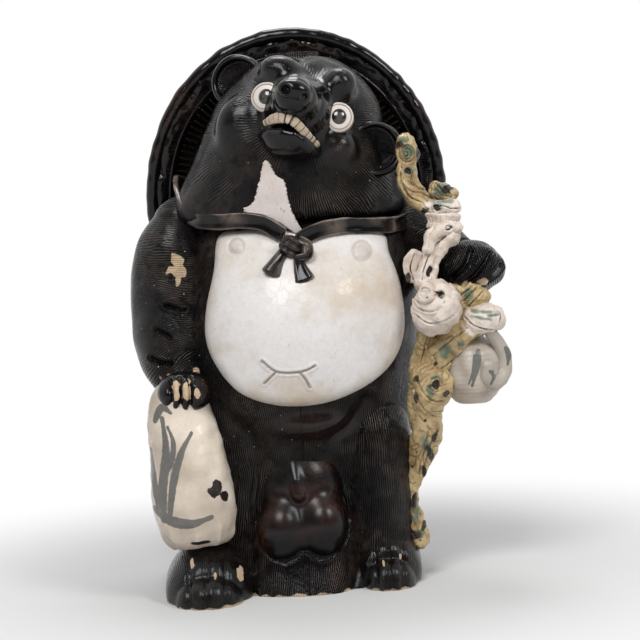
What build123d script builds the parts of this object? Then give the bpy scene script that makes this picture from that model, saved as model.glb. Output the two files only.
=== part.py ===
# Tanuki statue: a raccoon dog in glazed stoneware that stands upright in a round straw hat.
# One hand holds a flask, the other a gnarled branch from which a small jar hangs.
# The pieces were luted together with slip before firing, so nothing on the figure moves.
# Frame: +Z is up, the viewer stands towards -Y, the figure's own right hand is towards -X.
# The origin lies on the ground, under the middle of the whole figure.
from build123d import *
from math import cos, radians, sin
import os

os.makedirs("parts", exist_ok=True)

# Driving dimensions, in mm
head_height = 100  # the sculptor's measure: the figure stands four and a half heads tall
trunk_half_width = 100  # from the trunk's centre line to its side, at the hips
trunk_half_depth = 100  # from the trunk's centre line to the front of the belly
wall = 9  # clay wall of the hollow trunk and head
overrun = 6  # how far a cutting shape passes what it cuts

# The trunk and head
belly_relief = 5  # how far the white belly stands off the trunk
blaze_relief = 2.5  # the same for the white blaze at the throat
nipple_radius = 5.5
fold_radius = 13  # the roll of fat below the belly
muzzle_radius = 30
nose_radius = 13
nostril_radius = 3
jaw_radius = 25
lip_height = 8  # the height of the band of upper teeth
lip_thickness = 4
tooth_gap = 1.2
tooth_count = 9
brow_radius = 13
eye_half_width = 13.5
eye_half_height = 13
eye_depth = 8
eye_groove = 1.2
pupil_radius = 6.4
ear_radius = 22.5
ear_thickness = 13
ear_hollow = 8

# The hat and its string
hat_half_width = 127
hat_half_height = 140
hat_depth = 62
hat_wall = 8
rim_radius = 6.5  # the rolled edge
hoop_radius = 1.8  # the thin hoop inside the edge
rib_count = 84
rib_width = 2.2
rib_height = 3
string_width = 12.5
string_thickness = 5

# The limbs, tail and pouch
arm_radius = 36
paw_radius = 19
leg_radius = 26
foot_half_width = 34
toe_cut = 3
toe_cut_height = 18
tail_radius = 17
pouch_radius = 25

# The flask, the branch and the hanging jar
flask_radius = 32
flask_height = 128
branch_radius = 12
jar_radius = 25
tie_radius = 5


def spot(across, forward, up):
    """A place on the figure, as shares of the trunk's half width and half depth and of the head."""
    return Vector(across * trunk_half_width, -forward * trunk_half_depth, up * head_height)


def egg_face(up, across, half_share, front_share, back_share, inset=0.0, swell=0.0):
    """A level section of the trunk or head: half an ellipse in front and half one behind."""
    half = half_share * trunk_half_width - inset
    front = front_share * trunk_half_depth - inset + swell
    back = back_share * trunk_half_depth - inset
    with BuildSketch(Plane(origin=spot(across, 0, up)), mode=Mode.PRIVATE) as section:
        with BuildLine():
            EllipticalCenterArc((0, 0), half, front, start_angle=180, arc_size=180)
            EllipticalCenterArc((0, 0), half, back, start_angle=0, arc_size=180)
        make_face()
    return section.sketch.face()


def oval_face(origin, along, side, wide, deep):
    """An oval section square to a path, its width lying towards side."""
    across = side - along * side.dot(along)
    with BuildSketch(Plane(origin=origin, x_dir=across, z_dir=along), mode=Mode.PRIVATE) as oval:
        Ellipse(wide, deep)
    return oval.sketch.face()


def limb_faces(places, radius, wide_shares, deep_shares, side, ends=(True, True)):
    """Oval sections along a limb, with a dome at each end that is rounded."""
    path = [spot(*place) for place in places]
    last = len(path) - 1
    faces = []
    for index, point in enumerate(path):
        along = (path[min(index + 1, last)] - path[max(index - 1, 0)]).normalized()
        wide, deep = wide_shares[index] * radius, deep_shares[index] * radius
        angles = [0]
        if index == 0 and ends[0]:
            angles = [-80, -50, 0]
        if index == last and ends[1]:
            angles = [0, 50, 80]
        for angle in angles:
            rise = min(wide, deep) * sin(radians(angle))
            shrink = cos(radians(angle))
            faces.append(oval_face(point + along * rise, along, side, wide * shrink, deep * shrink))
    return faces


def strap_faces(places, thickness, width_shares, full_width, side=None):
    """Flat sections along a strap, its thickness towards side or away from the trunk's middle."""
    path = [spot(*place) for place in places]
    last = len(path) - 1
    faces = []
    for index, point in enumerate(path):
        along = (path[min(index + 1, last)] - path[max(index - 1, 0)]).normalized()
        out = side or Vector(point.X - spot(-0.15, 0, 0).X, point.Y, 0)
        flat = Plane(origin=point, x_dir=out - along * out.dot(along), z_dir=along)
        with BuildSketch(flat, mode=Mode.PRIVATE) as section:
            Rectangle(thickness, width_shares[index] * full_width)
        faces.append(section.sketch.face())
    return faces


def blob_faces(centre, along, side, length, wide, deep):
    """Sections of an ellipsoid whose length lies along a direction."""
    faces = []
    for angle in (-80, -50, -18, 18, 50, 80):
        rise = length * sin(radians(angle))
        shrink = cos(radians(angle))
        faces.append(oval_face(centre + along * rise, along, side, wide * shrink, deep * shrink))
    return faces


def prism_of(outline_shares):
    """A block with a smooth outline seen from the front, from the middle plane to the viewer."""
    points = [(across * trunk_half_width, up * head_height) for across, up in outline_shares]
    with BuildPart(mode=Mode.PRIVATE) as prism:
        with BuildSketch(Plane.XZ):
            with BuildLine():
                Spline(*points, periodic=True)
            make_face()
        extrude(amount=trunk_half_depth + belly_relief + overrun)
    return prism


def seat(piece, *neighbours):
    """Cuts the piece being built by the larger neighbours it reaches, and keeps its main solid."""
    for neighbour in neighbours:
        if piece.part.bounding_box().overlaps(neighbour.part.bounding_box()):
            add(neighbour.part, mode=Mode.SUBTRACT)
    add(piece.part.solids().sort_by(SortBy.VOLUME)[-1], mode=Mode.REPLACE)


level = Vector(1, 0, 0)
upright = Vector(0, 0, 1)
inward = Vector(0, 1, 0)
pieces = {}

# The trunk is a hollow shell with an open underside, as a press-moulded figure has.
# Each row gives height, centre, half width, and depth in front and behind.
trunk_shares = (
    (0.00, -0.24, 0.86, 0.92, 0.70),
    (0.30, -0.26, 0.88, 0.77, 0.74),
    (0.75, -0.28, 0.92, 0.66, 0.78),
    (1.20, -0.27, 0.98, 0.72, 0.80),
    (1.50, -0.24, 1.00, 0.84, 0.80),
    (1.80, -0.19, 0.99, 0.92, 0.77),
    (2.10, -0.15, 0.97, 0.94, 0.70),
    (2.40, -0.13, 0.93, 0.84, 0.60),
    (2.65, -0.13, 0.89, 0.66, 0.52),
    (2.85, -0.14, 0.84, 0.50, 0.47),
    (3.00, -0.16, 0.70, 0.40, 0.42),
)
# A roll of fat hangs below the white belly.
with BuildPart() as body_form:
    loft(sections=[egg_face(*row) for row in trunk_shares])
    loft(sections=blob_faces(spot(-0.14, 0.62, 1.30), level, inward, 2.6 * fold_radius,
                             1.5 * fold_radius, fold_radius))
with BuildPart() as trunk_hollow:
    loft(sections=[egg_face(*row, inset=wall) for row in trunk_shares])
with BuildPart() as body_shell:
    add(body_form.part)
    seat(body_shell, trunk_hollow)
pieces["body_shell"] = body_shell

# The white belly is a slab of slip that follows the trunk inside its own outline.
belly_shares = (
    (-0.76, 2.78), (-0.81, 2.50), (-0.88, 2.22), (-0.89, 1.98), (-0.81, 1.77), (-0.65, 1.58),
    (-0.42, 1.48), (-0.15, 1.45), (0.12, 1.49), (0.40, 1.61), (0.58, 1.78), (0.66, 2.02),
    (0.64, 2.34), (0.57, 2.58), (0.52, 2.74), (0.20, 2.80), (-0.20, 2.80), (-0.55, 2.82),
)
nipple_spots = ((-0.64, 2.69), (0.34, 2.60))
with BuildPart() as belly:
    loft(sections=[egg_face(*row, swell=belly_relief) for row in trunk_shares])
    add(prism_of(belly_shares).part, mode=Mode.INTERSECT)
    for across, up in nipple_spots:
        with BuildSketch(Plane.XZ.offset(0.3 * trunk_half_depth)):
            with Locations((across * trunk_half_width, up * head_height)):
                Circle(nipple_radius)
        extrude(amount=0.38 * trunk_half_depth)
    seat(belly, body_form)
pieces["belly"] = belly

# The head is a hollow bell with a wide ruff, brows and a muzzle turned up and to its right.
head_shares = (
    (2.88, -0.19, 0.89, 0.55, 0.50),
    (2.97, -0.20, 0.94, 0.60, 0.53),
    (3.10, -0.20, 0.90, 0.62, 0.54),
    (3.32, -0.16, 0.83, 0.60, 0.54),
    (3.52, -0.15, 0.75, 0.57, 0.53),
    (3.73, -0.11, 0.69, 0.54, 0.52),
    (3.88, -0.10, 0.62, 0.50, 0.50),
    (4.04, -0.10, 0.49, 0.41, 0.42),
    (4.14, -0.09, 0.34, 0.30, 0.31),
    (4.20, -0.09, 0.19, 0.17, 0.18),
    (4.22, -0.09, 0.04, 0.04, 0.04),
)
brow_places = ((-0.22, 0.36, 4.00), (0.26, 0.38, 3.87))
eye_line = Vector(cos(radians(15)), 0, -sin(radians(15)))
face_up = Vector(sin(radians(15)), 0, cos(radians(15)))
muzzle_places = ((-0.07, 0.34, 3.68), (-0.08, 0.56, 3.73), (-0.10, 0.74, 3.79), (-0.11, 0.84, 3.81))
with BuildPart() as head_hollow:
    loft(sections=[egg_face(*row, inset=wall) for row in head_shares[:8]])
with BuildPart() as head_form:
    loft(sections=[egg_face(*row) for row in head_shares])
    loft(sections=limb_faces(muzzle_places, muzzle_radius, (1.1, 1.0, 0.84, 0.68), (0.9, 0.7, 0.52, 0.42),
                             eye_line))
    for place in brow_places:
        loft(sections=blob_faces(spot(*place), eye_line, face_up, 1.3 * brow_radius, brow_radius,
                                 brow_radius))
    seat(head_form, body_form)
with BuildPart() as head:
    add(head_form.part)
    seat(head, head_hollow)
pieces["head"] = head

# A white blaze runs from the jaw down the throat to the belly.
blaze_shares = (
    (-0.39, 3.33), (-0.43, 3.20), (-0.46, 3.08), (-0.54, 2.98), (-0.50, 2.90), (-0.34, 2.87),
    (-0.18, 2.83), (-0.10, 2.83), (-0.15, 2.93), (-0.19, 3.05), (-0.26, 3.22), (-0.31, 3.32),
)
with BuildPart() as throat_blaze:
    loft(sections=[egg_face(*row, swell=blaze_relief) for row in head_shares])
    add(prism_of(blaze_shares).part, mode=Mode.INTERSECT)
    seat(throat_blaze, head_form, body_form, belly)
pieces["throat_blaze"] = throat_blaze

# The jaw, the nose and the band of upper teeth are modelled onto the muzzle.
jaw_places = ((-0.13, 0.36, 3.40), (-0.16, 0.54, 3.45), (-0.18, 0.66, 3.50))
with BuildPart() as lower_jaw:
    loft(sections=limb_faces(jaw_places, jaw_radius, (1.0, 0.98, 0.92), (0.62, 0.58, 0.46), eye_line))
    seat(lower_jaw, head_form)
pieces["lower_jaw"] = lower_jaw

nose_centre = spot(-0.105, 0.92, 3.84)
with BuildPart() as nose:
    loft(sections=blob_faces(nose_centre, eye_line, inward, nose_radius, 0.6 * nose_radius,
                             0.62 * nose_radius))
    for place in ((-0.167, 0.99, 3.84), (-0.02, 0.99, 3.77)):
        add(Solid.make_sphere(nostril_radius).moved(Location(spot(*place))), mode=Mode.SUBTRACT)
    seat(nose, head_form)
pieces["nose"] = nose

# The band of teeth is one strip, and notches cut with a knife part it into teeth.
lip_places = (
    (-0.34, 0.64, 3.63), (-0.27, 0.74, 3.65), (-0.20, 0.82, 3.65), (-0.14, 0.84, 3.63),
    (-0.08, 0.80, 3.58), (-0.02, 0.73, 3.51), (0.05, 0.64, 3.44),
)
lip_shares = (0.6, 0.9, 1, 1, 0.9, 0.8, 0.6)
with BuildPart() as upper_teeth:
    loft(sections=strap_faces(lip_places, lip_thickness, lip_shares, lip_height, inward))
    with BuildLine(mode=Mode.PRIVATE) as lip_line:
        Spline(*[spot(*place) for place in lip_places])
    lip = lip_line.wire()
    for index in range(tooth_count - 1):
        share = (index + 1) / tooth_count
        front = lip @ share - inward * (0.5 * lip_thickness)
        with BuildSketch(Plane(origin=front, x_dir=inward, z_dir=lip % share)):
            Rectangle(lip_thickness, 2 * lip_height)
        extrude(amount=0.5 * tooth_gap, both=True, mode=Mode.SUBTRACT)
    seat(upper_teeth, head_form, lower_jaw)
pieces["upper_teeth"] = upper_teeth

# Each eye is a white disc with a grooved ring and a dark dome for a pupil.
eye_places = {
    "right": ((-0.32, 0.52, 3.83), Vector(-0.26, -0.94, 0.20)),
    "left": ((0.205, 0.53, 3.66), Vector(0.14, -0.97, 0.18)),
}
for side, (place, gaze) in eye_places.items():
    out = gaze.normalized()
    socket = Plane(origin=spot(*place), x_dir=eye_line - out * eye_line.dot(out), z_dir=out)
    with BuildPart() as eye:
        with BuildSketch(socket.offset(-eye_depth)):
            Ellipse(eye_half_width, eye_half_height)
        extrude(amount=1.5 * eye_depth)
        with BuildSketch(socket.offset(0.5 * eye_depth)):
            Ellipse(eye_half_width - 2 * eye_groove, eye_half_height - 2 * eye_groove)
            Ellipse(eye_half_width - 3 * eye_groove, eye_half_height - 3 * eye_groove,
                    mode=Mode.SUBTRACT)
        extrude(amount=-eye_groove, mode=Mode.SUBTRACT)
        seat(eye, head_form)
    pieces[f"eye_{side}"] = eye
    with BuildPart() as pupil:
        loft(sections=blob_faces(spot(*place) + out * (0.5 * eye_depth), out, eye_line,
                                 0.5 * pupil_radius, pupil_radius, pupil_radius))
        seat(pupil, eye, head_form)
    pieces[f"pupil_{side}"] = pupil

# The round ears are dished in front, inside a smooth rolled edge.
ear_places = {
    "right": ((-0.55, 0.06, 4.00), Vector(-0.25, -0.96, 0.10)),
    "left": ((0.50, 0.32, 3.40), Vector(0.22, -0.96, 0.10)),
}
for side, (place, face_out) in ear_places.items():
    out = face_out.normalized()
    sideways = (eye_line - out * eye_line.dot(out)).normalized()
    edge, back, front = 0.8 * ear_radius, -0.5 * ear_thickness, 0.5 * ear_thickness
    dish = front - ear_hollow
    with BuildPart() as ear:
        with BuildSketch(Plane(origin=spot(*place), x_dir=sideways, z_dir=sideways.cross(out))):
            with BuildLine():
                Polyline((0, dish), (0, back), (edge, back))
                ThreePointArc((edge, back), (ear_radius, 0), (edge, front))
                ThreePointArc((edge, front), (0.6 * edge, 0.6 * dish + 0.2 * front), (0, dish))
            make_face()
        revolve(axis=Axis(spot(*place), out))
        seat(ear, head_form)
    pieces[f"ear_{side}"] = ear

# The arms hang from the shoulders and bend forward to what they hold.
right_arm_places = (
    (-1.06, -0.04, 2.88), (-1.13, 0.00, 2.66), (-1.16, 0.05, 2.38), (-1.16, 0.15, 2.10),
    (-1.14, 0.30, 1.88), (-1.11, 0.42, 1.74), (-1.07, 0.50, 1.68),
)
with BuildPart() as right_arm:
    loft(sections=limb_faces(right_arm_places, arm_radius, (0.72, 0.94, 1, 0.98, 0.92, 0.76, 0.56),
                             (0.72, 0.9, 0.95, 0.95, 0.9, 0.74, 0.54), level))
    seat(right_arm, body_form, head_form)
pieces["right_arm"] = right_arm

left_arm_places = (
    (0.76, -0.04, 2.84), (0.86, 0.00, 2.68), (1.00, 0.06, 2.52), (1.14, 0.18, 2.44), (1.26, 0.30, 2.44),
)
with BuildPart() as left_arm:
    loft(sections=limb_faces(left_arm_places, arm_radius, (0.6, 0.7, 0.7, 0.64, 0.56),
                             (0.72, 0.8, 0.75, 0.64, 0.54), inward))
    seat(left_arm, body_form, head_form)
pieces["left_arm"] = left_arm

# The legs stand out of the trunk, and the feet out of the legs, flat on the ground.
leg_places = {
    "right": ((-0.84, 0.30, 1.30), (-0.88, 0.38, 1.00), (-0.92, 0.40, 0.66), (-0.94, 0.40, 0.26)),
    "left": ((0.42, 0.28, 1.44), (0.42, 0.38, 1.12), (0.40, 0.42, 0.80), (0.41, 0.46, 0.30)),
}
legs = {}
for side, places in leg_places.items():
    with BuildPart() as leg:
        loft(sections=limb_faces(places, leg_radius, (1, 1, 0.96, 0.92), (1.1, 1.1, 1.05, 1), level))
        seat(leg, body_form)
    legs[side] = leg
    pieces[f"{side}_leg"] = leg

foot_places = {
    "right": ((-0.97, 0.30, 0.06), (-0.97, 0.62, 0.06), (-0.96, 0.86, 0.05), (-0.95, 1.00, 0.02)),
    "left": ((0.44, 0.24, 0.08), (0.44, 0.40, 0.10), (0.44, 0.58, 0.08), (0.44, 0.70, 0.04)),
}
foot_scale_shares = {"right": 1.0, "left": 0.78}
foot_deep_shares = {"right": (1.06, 1.10, 0.92, 0.59), "left": (1.36, 1.41, 1.18, 0.76)}
toe_shares = (-0.42, -0.02, 0.40)
for side, places in foot_places.items():
    size = foot_scale_shares[side] * foot_half_width
    with BuildPart() as foot:
        loft(sections=limb_faces(places, size, (0.8, 1, 0.96, 0.76), foot_deep_shares[side], level))
        for toe_share in toe_shares:
            tip = spot(*places[-1]) + level * (toe_share * size) + inward * (-0.34 * size)
            groove = Plane(origin=tip, x_dir=level, z_dir=upright)
            with BuildSketch(groove):
                Circle(0.5 * toe_cut)
            extrude(amount=toe_cut_height, mode=Mode.SUBTRACT)
        split(bisect_by=Plane.XY)
        seat(foot, body_form, legs[side])
    pieces[f"{side}_foot"] = foot

# A stubby tail props the back.
tail_places = ((-0.16, -0.62, 0.52), (-0.16, -0.82, 0.36), (-0.16, -0.90, 0.16), (-0.16, -0.92, -0.04))
with BuildPart() as tail:
    loft(sections=limb_faces(tail_places, tail_radius, (0.8, 1.1, 1.1, 0.9), (0.8, 0.9, 0.9, 0.8), level))
    split(bisect_by=Plane.XY)
    seat(tail, body_form)
pieces["tail"] = tail

# The pouch is two smooth lobes under one drop, with a short ridge down its middle.
with BuildPart() as pouch:
    loft(sections=blob_faces(spot(-0.23, 0.58, 0.80), upright, level, 1.2 * pouch_radius,
                             1.3 * pouch_radius, pouch_radius))
    for place in ((-0.36, 0.62, 0.52), (-0.06, 0.60, 0.54)):
        loft(sections=blob_faces(spot(*place), upright, level, 1.08 * pouch_radius,
                                 0.84 * pouch_radius, pouch_radius))
    loft(sections=blob_faces(spot(-0.24, 0.84, 0.86), upright, level, 0.7 * pouch_radius,
                             0.24 * pouch_radius, 0.3 * pouch_radius))
    seat(pouch, body_form, legs["left"], legs["right"])
pieces["pouch"] = pouch

# The flask is a leaning pear with a flat base, and the right hand lies over its neck.
flask_axis = (spot(-1.15, 0.66, 1.70) - spot(-1.01, 0.70, 0.40)).normalized()
flask_foot = Plane(origin=spot(-1.01, 0.70, 0.40), x_dir=level, z_dir=flask_axis)
flask_profile_shares = (
    (0.66, 0.00), (0.88, 0.05), (1.00, 0.22), (0.95, 0.46), (0.84, 0.70), (0.74, 0.86), (0.52, 0.97),
    (0.42, 1.00),
)
with BuildPart() as flask:
    with BuildSketch(Plane(origin=flask_foot.origin, x_dir=level, z_dir=level.cross(flask_axis))):
        with BuildLine():
            Polyline((0, flask_height), (0, 0), (flask_profile_shares[0][0] * flask_radius, 0))
            Spline(*[(out * flask_radius, up * flask_height) for out, up in flask_profile_shares])
            Line((flask_profile_shares[-1][0] * flask_radius, flask_height), (0, flask_height))
        make_face()
    revolve(axis=Axis(flask_foot.origin, flask_axis))
    seat(flask, body_form, right_arm, legs["right"], pieces["right_foot"])
pieces["flask"] = flask

with BuildPart() as right_paw:
    loft(sections=blob_faces(spot(-1.07, 0.74, 1.59), level, upright, 1.12 * paw_radius,
                             0.9 * paw_radius, 1.1 * paw_radius))
    seat(right_paw, flask, right_arm, body_form)
pieces["right_paw"] = right_paw

# The left paw closes over the branch from behind.
with BuildPart() as left_paw:
    loft(sections=blob_faces(spot(1.22, 0.38, 2.44), eye_line, face_up, 1.4 * paw_radius,
                             1.1 * paw_radius, paw_radius))
    seat(left_paw, left_arm)
pieces["left_paw"] = left_paw

# The straw hat is a shallow cone worn behind the head, its open side to the front.
# Its lower edge rests on the back, and ribs of straw show inside a thin hoop.
hat_centre = spot(-0.145, -0.52, 3.08)
hat_back = Vector(0, cos(radians(5)), sin(radians(5)))
hat_plane = Plane(origin=hat_centre, x_dir=level * -1, z_dir=hat_back)
edge_half_width = hat_half_width - rim_radius
edge_half_height = hat_half_height - rim_radius
cone_shares = ((0.55, 0.60), (0.14, 0.96), (0.04, 1.00))
brim_share, brim_back_share, hoop_share = 0.85, 0.29, 0.88


def hat_ring(share, behind):
    """An oval across the hat, as a share of its outline, some way behind its edge."""
    with BuildSketch(hat_plane.offset(behind), mode=Mode.PRIVATE) as ring:
        Ellipse(edge_half_width * share, edge_half_height * share)
    return ring.sketch.face()


def hat_edge(share, radius):
    """A round bead that runs all the way round the hat."""
    with BuildPart(mode=Mode.PRIVATE) as bead:
        with BuildLine(hat_plane) as path:
            EllipticalCenterArc((0, 0), edge_half_width * share, edge_half_height * share,
                                start_angle=0, arc_size=360)
        with BuildSketch(Plane(origin=path.wire() @ 0, z_dir=path.wire() % 0)):
            Circle(radius)
        sweep()
    return bead


recess = brim_back_share * hat_depth - hat_wall
with BuildPart() as hat:
    loft(sections=[hat_ring(1, 0), hat_ring(1, rim_radius)]
         + [hat_ring(share, depth * hat_depth) for share, depth in cone_shares], ruled=True)
    loft(sections=[hat_ring(brim_share, -overrun), hat_ring(brim_share, recess)]
         + [hat_ring(share, depth * hat_depth - hat_wall) for share, depth in cone_shares],
         ruled=True, mode=Mode.SUBTRACT)
    seat(hat, body_form, head_form, right_arm, left_arm)
pieces["hat"] = hat

with BuildPart() as hat_rim:
    add(hat_edge(1, rim_radius).part)
    seat(hat_rim, hat, body_form, right_arm, left_arm)
pieces["hat_rim"] = hat_rim
with BuildPart() as hat_hoop:
    add(hat_edge(hoop_share, hoop_radius).part)
    seat(hat_hoop, hat, body_form, head_form, right_arm, left_arm)
pieces["hat_hoop"] = hat_hoop

# The ribs run round the part of the hat that shows above the shoulders.
rib_start_share, rib_end_share = 0.84, 0.72
rib_first_turn = -30
cone_rise = (cone_shares[0][1] * hat_depth - hat_wall - recess) / (brim_share - cone_shares[0][0])
with BuildPart() as hat_ribs:
    ribs = []
    for index in range(rib_count):
        turn = radians(rib_first_turn + (180 - 2 * rib_first_turn) * index / (rib_count - 1))
        start, end = [
            hat_plane.from_local_coords((
                edge_half_width * share * cos(turn),
                edge_half_height * share * sin(turn),
                recess + (brim_share - share) * cone_rise,
            ))
            for share in (rib_start_share, rib_end_share)
        ]
        along = (end - start).normalized()
        rib_plane = Plane(origin=start, x_dir=along.cross(hat_back), z_dir=along)
        with BuildSketch(rib_plane, mode=Mode.PRIVATE) as rib:
            Rectangle(rib_width, 2 * rib_height)
        ribs.append(extrude(rib.sketch, amount=(end - start).length, mode=Mode.PRIVATE))
    add(ribs)
    add(hat.part, mode=Mode.SUBTRACT)
pieces["hat_ribs"] = hat_ribs

# The hat's string is a flat band of clay that comes round both sides to a bow at the throat.
string_places = {
    "right": (
        (-1.06, -0.58, 3.20), (-1.12, -0.30, 3.24), (-1.11, -0.04, 3.16), (-1.06, 0.18, 3.03),
        (-0.94, 0.34, 2.92), (-0.76, 0.47, 2.89), (-0.58, 0.55, 2.89), (-0.40, 0.61, 2.86),
        (-0.26, 0.67, 2.77),
    ),
    "left": (
        (0.84, -0.58, 2.98), (0.78, -0.26, 2.92), (0.74, 0.06, 2.84), (0.62, 0.36, 2.80),
        (0.42, 0.50, 2.80), (0.20, 0.60, 2.81), (0.02, 0.66, 2.78), (-0.12, 0.70, 2.72),
    ),
}
strings = {}
for side, places in string_places.items():
    with BuildPart() as string:
        loft(sections=strap_faces(places, string_thickness, (1,) * len(places), string_width))
        seat(string, body_form, head_form, belly, throat_blaze, hat, right_arm, left_arm)
    strings[side] = string
    pieces[f"hat_string_{side}"] = string

with BuildPart() as bow_knot:
    loft(sections=blob_faces(spot(-0.19, 0.74, 2.67), level, upright, 0.8 * string_width,
                             0.7 * string_width, 0.6 * string_width))
    seat(bow_knot, body_form, head_form, belly, throat_blaze, strings["right"], strings["left"])
pieces["bow_knot"] = bow_knot
bow_places = {
    "bow_loop": ((-0.12, 0.76, 2.72), (-0.06, 0.79, 2.68), (-0.06, 0.81, 2.60), (-0.14, 0.80, 2.58)),
    "bow_tail_right": ((-0.24, 0.73, 2.65), (-0.30, 0.79, 2.57), (-0.35, 0.84, 2.48)),
    "bow_tail_left": ((-0.14, 0.75, 2.62), (-0.13, 0.82, 2.52), (-0.10, 0.88, 2.42)),
}
bow_width_shares = {"bow_loop": (0.5, 0.5, 0.5, 0.5), "bow_tail_right": (0.6, 0.8, 1.25),
                    "bow_tail_left": (0.6, 0.8, 1.25)}
bow_parts = []
for name, places in bow_places.items():
    with BuildPart() as bow_part:
        loft(sections=strap_faces(places, string_thickness, bow_width_shares[name], string_width,
                                  inward))
        seat(bow_part, body_form, belly, throat_blaze, bow_knot, strings["right"], strings["left"],
             *bow_parts)
    bow_parts.append(bow_part)
    pieces[name] = bow_part

# The branch is built from a chain of clay lumps, each pressed onto the one before.
branch_places = {
    "branch_foot": ((0.70, 0.45, 0.30), (0.65, 0.45, 0.56), (0.66, 0.45, 0.74), (0.72, 0.46, 0.92),
                    (0.78, 0.47, 1.08), (0.79, 0.48, 1.24), (0.78, 0.50, 1.40)),
    "branch_knot": ((0.80, 0.52, 1.42), (0.84, 0.53, 1.52), (0.82, 0.52, 1.60)),
    "branch_limb": ((0.88, 0.50, 1.66), (0.98, 0.52, 1.77), (1.12, 0.52, 1.89), (1.24, 0.50, 1.98)),
    "branch_end": ((1.20, 0.56, 2.02), (1.28, 0.56, 2.03), (1.35, 0.54, 2.03)),
    "branch_wrap": ((1.14, 0.42, 2.28), (1.22, 0.46, 2.18), (1.24, 0.48, 2.12)),
    "branch_stem": ((0.74, 0.47, 1.64), (0.79, 0.48, 1.80), (0.84, 0.50, 1.96)),
    "branch_burl": ((0.88, 0.64, 2.09), (0.91, 0.66, 2.15), (0.92, 0.65, 2.20)),
    "branch_neck": ((0.83, 0.58, 2.34), (0.87, 0.58, 2.48), (0.95, 0.56, 2.61), (1.03, 0.53, 2.69)),
    "branch_leaf": ((0.79, 0.56, 2.56), (0.74, 0.54, 2.47), (0.745, 0.54, 2.36)),
    "branch_twist": ((1.10, 0.56, 2.75), (1.00, 0.61, 2.75), (0.90, 0.63, 2.70), (0.86, 0.64, 2.60)),
    "branch_crook": ((0.98, 0.46, 2.87), (0.90, 0.41, 2.93), (0.81, 0.37, 3.01), (0.75, 0.35, 3.12),
                     (0.75, 0.34, 3.23), (0.76, 0.34, 3.34), (0.745, 0.34, 3.44)),
    "branch_stub": ((0.95, 0.46, 3.07), (1.02, 0.49, 3.04), (1.07, 0.50, 3.01)),
    "branch_bead": ((0.96, 0.54, 2.91), (1.03, 0.55, 2.91), (1.08, 0.54, 2.91)),
}
branch_wide_shares = {
    "branch_foot": (0.80, 0.62, 0.62, 0.86, 1.00, 0.86, 0.95),
    "branch_knot": (1.30, 1.45, 1.20),
    "branch_limb": (0.80, 0.86, 0.84, 0.90),
    "branch_end": (0.85, 0.98, 0.85),
    "branch_wrap": (1.10, 1.05, 0.80),
    "branch_stem": (0.55, 0.60, 0.70),
    "branch_burl": (1.45, 1.60, 1.40),
    "branch_neck": (0.75, 0.62, 0.62, 0.80),
    "branch_leaf": (0.50, 0.58, 0.45),
    "branch_twist": (0.42, 0.44, 0.44, 0.36),
    "branch_crook": (0.62, 0.62, 0.72, 0.68, 0.66, 0.72, 0.62),
    "branch_stub": (0.45, 0.50, 0.46),
    "branch_bead": (0.48, 0.52, 0.48),
}
branch_deep_share = {"branch_leaf": 0.35, "branch_wrap": 0.6}
branch = {}
with BuildPart() as branch_collar:
    with BuildSketch(Plane(origin=spot(0.99, 0.50, 2.75))):
        Circle(1.02 * branch_radius)
    with BuildSketch(Plane(origin=spot(1.00, 0.50, 2.86))):
        Circle(1.12 * branch_radius)
    loft()
    seat(branch_collar, left_paw, left_arm, body_form)
branch["branch_collar"] = branch_collar
for name, places in branch_places.items():
    wide_shares = branch_wide_shares[name]
    deep_share = branch_deep_share.get(name, 0.92)
    with BuildPart() as lump:
        loft(sections=limb_faces(places, branch_radius, [deep_share * share for share in wide_shares],
                                 wide_shares, inward))
        seat(lump, body_form, legs["left"], pieces["left_foot"], left_arm, left_paw,
             pieces["ear_left"], hat, *branch.values())
    branch[name] = lump
pieces.update(branch)

# A small round jar hangs from the branch by a looped tie.
jar_shares = ((0.50, -1.06), (0.86, -0.66), (1.00, -0.10), (0.88, 0.56), (0.46, 0.98), (0.34, 1.08))
jar_seat = Plane(origin=spot(1.18, 0.38, 1.63), x_dir=level, z_dir=inward * -1)
with BuildPart() as hanging_jar:
    with BuildSketch(jar_seat):
        with BuildLine():
            Polyline((0, jar_shares[-1][1] * jar_radius), (0, jar_shares[0][1] * jar_radius),
                     (jar_shares[0][0] * jar_radius, jar_shares[0][1] * jar_radius))
            Spline(*[(out * jar_radius, up * jar_radius) for out, up in jar_shares])
            Line((jar_shares[-1][0] * jar_radius, jar_shares[-1][1] * jar_radius),
                 (0, jar_shares[-1][1] * jar_radius))
        make_face()
    revolve(axis=Axis(jar_seat.origin, upright))
    seat(hanging_jar, left_arm, left_paw, *branch.values())
pieces["hanging_jar"] = hanging_jar

tie_places = (
    (1.32, 0.54, 1.92), (1.39, 0.50, 1.82), (1.43, 0.47, 1.70), (1.42, 0.48, 1.59), (1.35, 0.54, 1.53),
    (1.28, 0.60, 1.57), (1.28, 0.63, 1.67),
)
with BuildPart() as jar_tie:
    loft(sections=limb_faces(tie_places, tie_radius, (0.8, 0.9, 1.1, 1.1, 1, 0.9, 0.8),
                             (0.8, 0.9, 1.1, 1.1, 1, 0.9, 0.8), inward))
    seat(jar_tie, hanging_jar, *branch.values())
pieces["jar_tie"] = jar_tie

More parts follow.
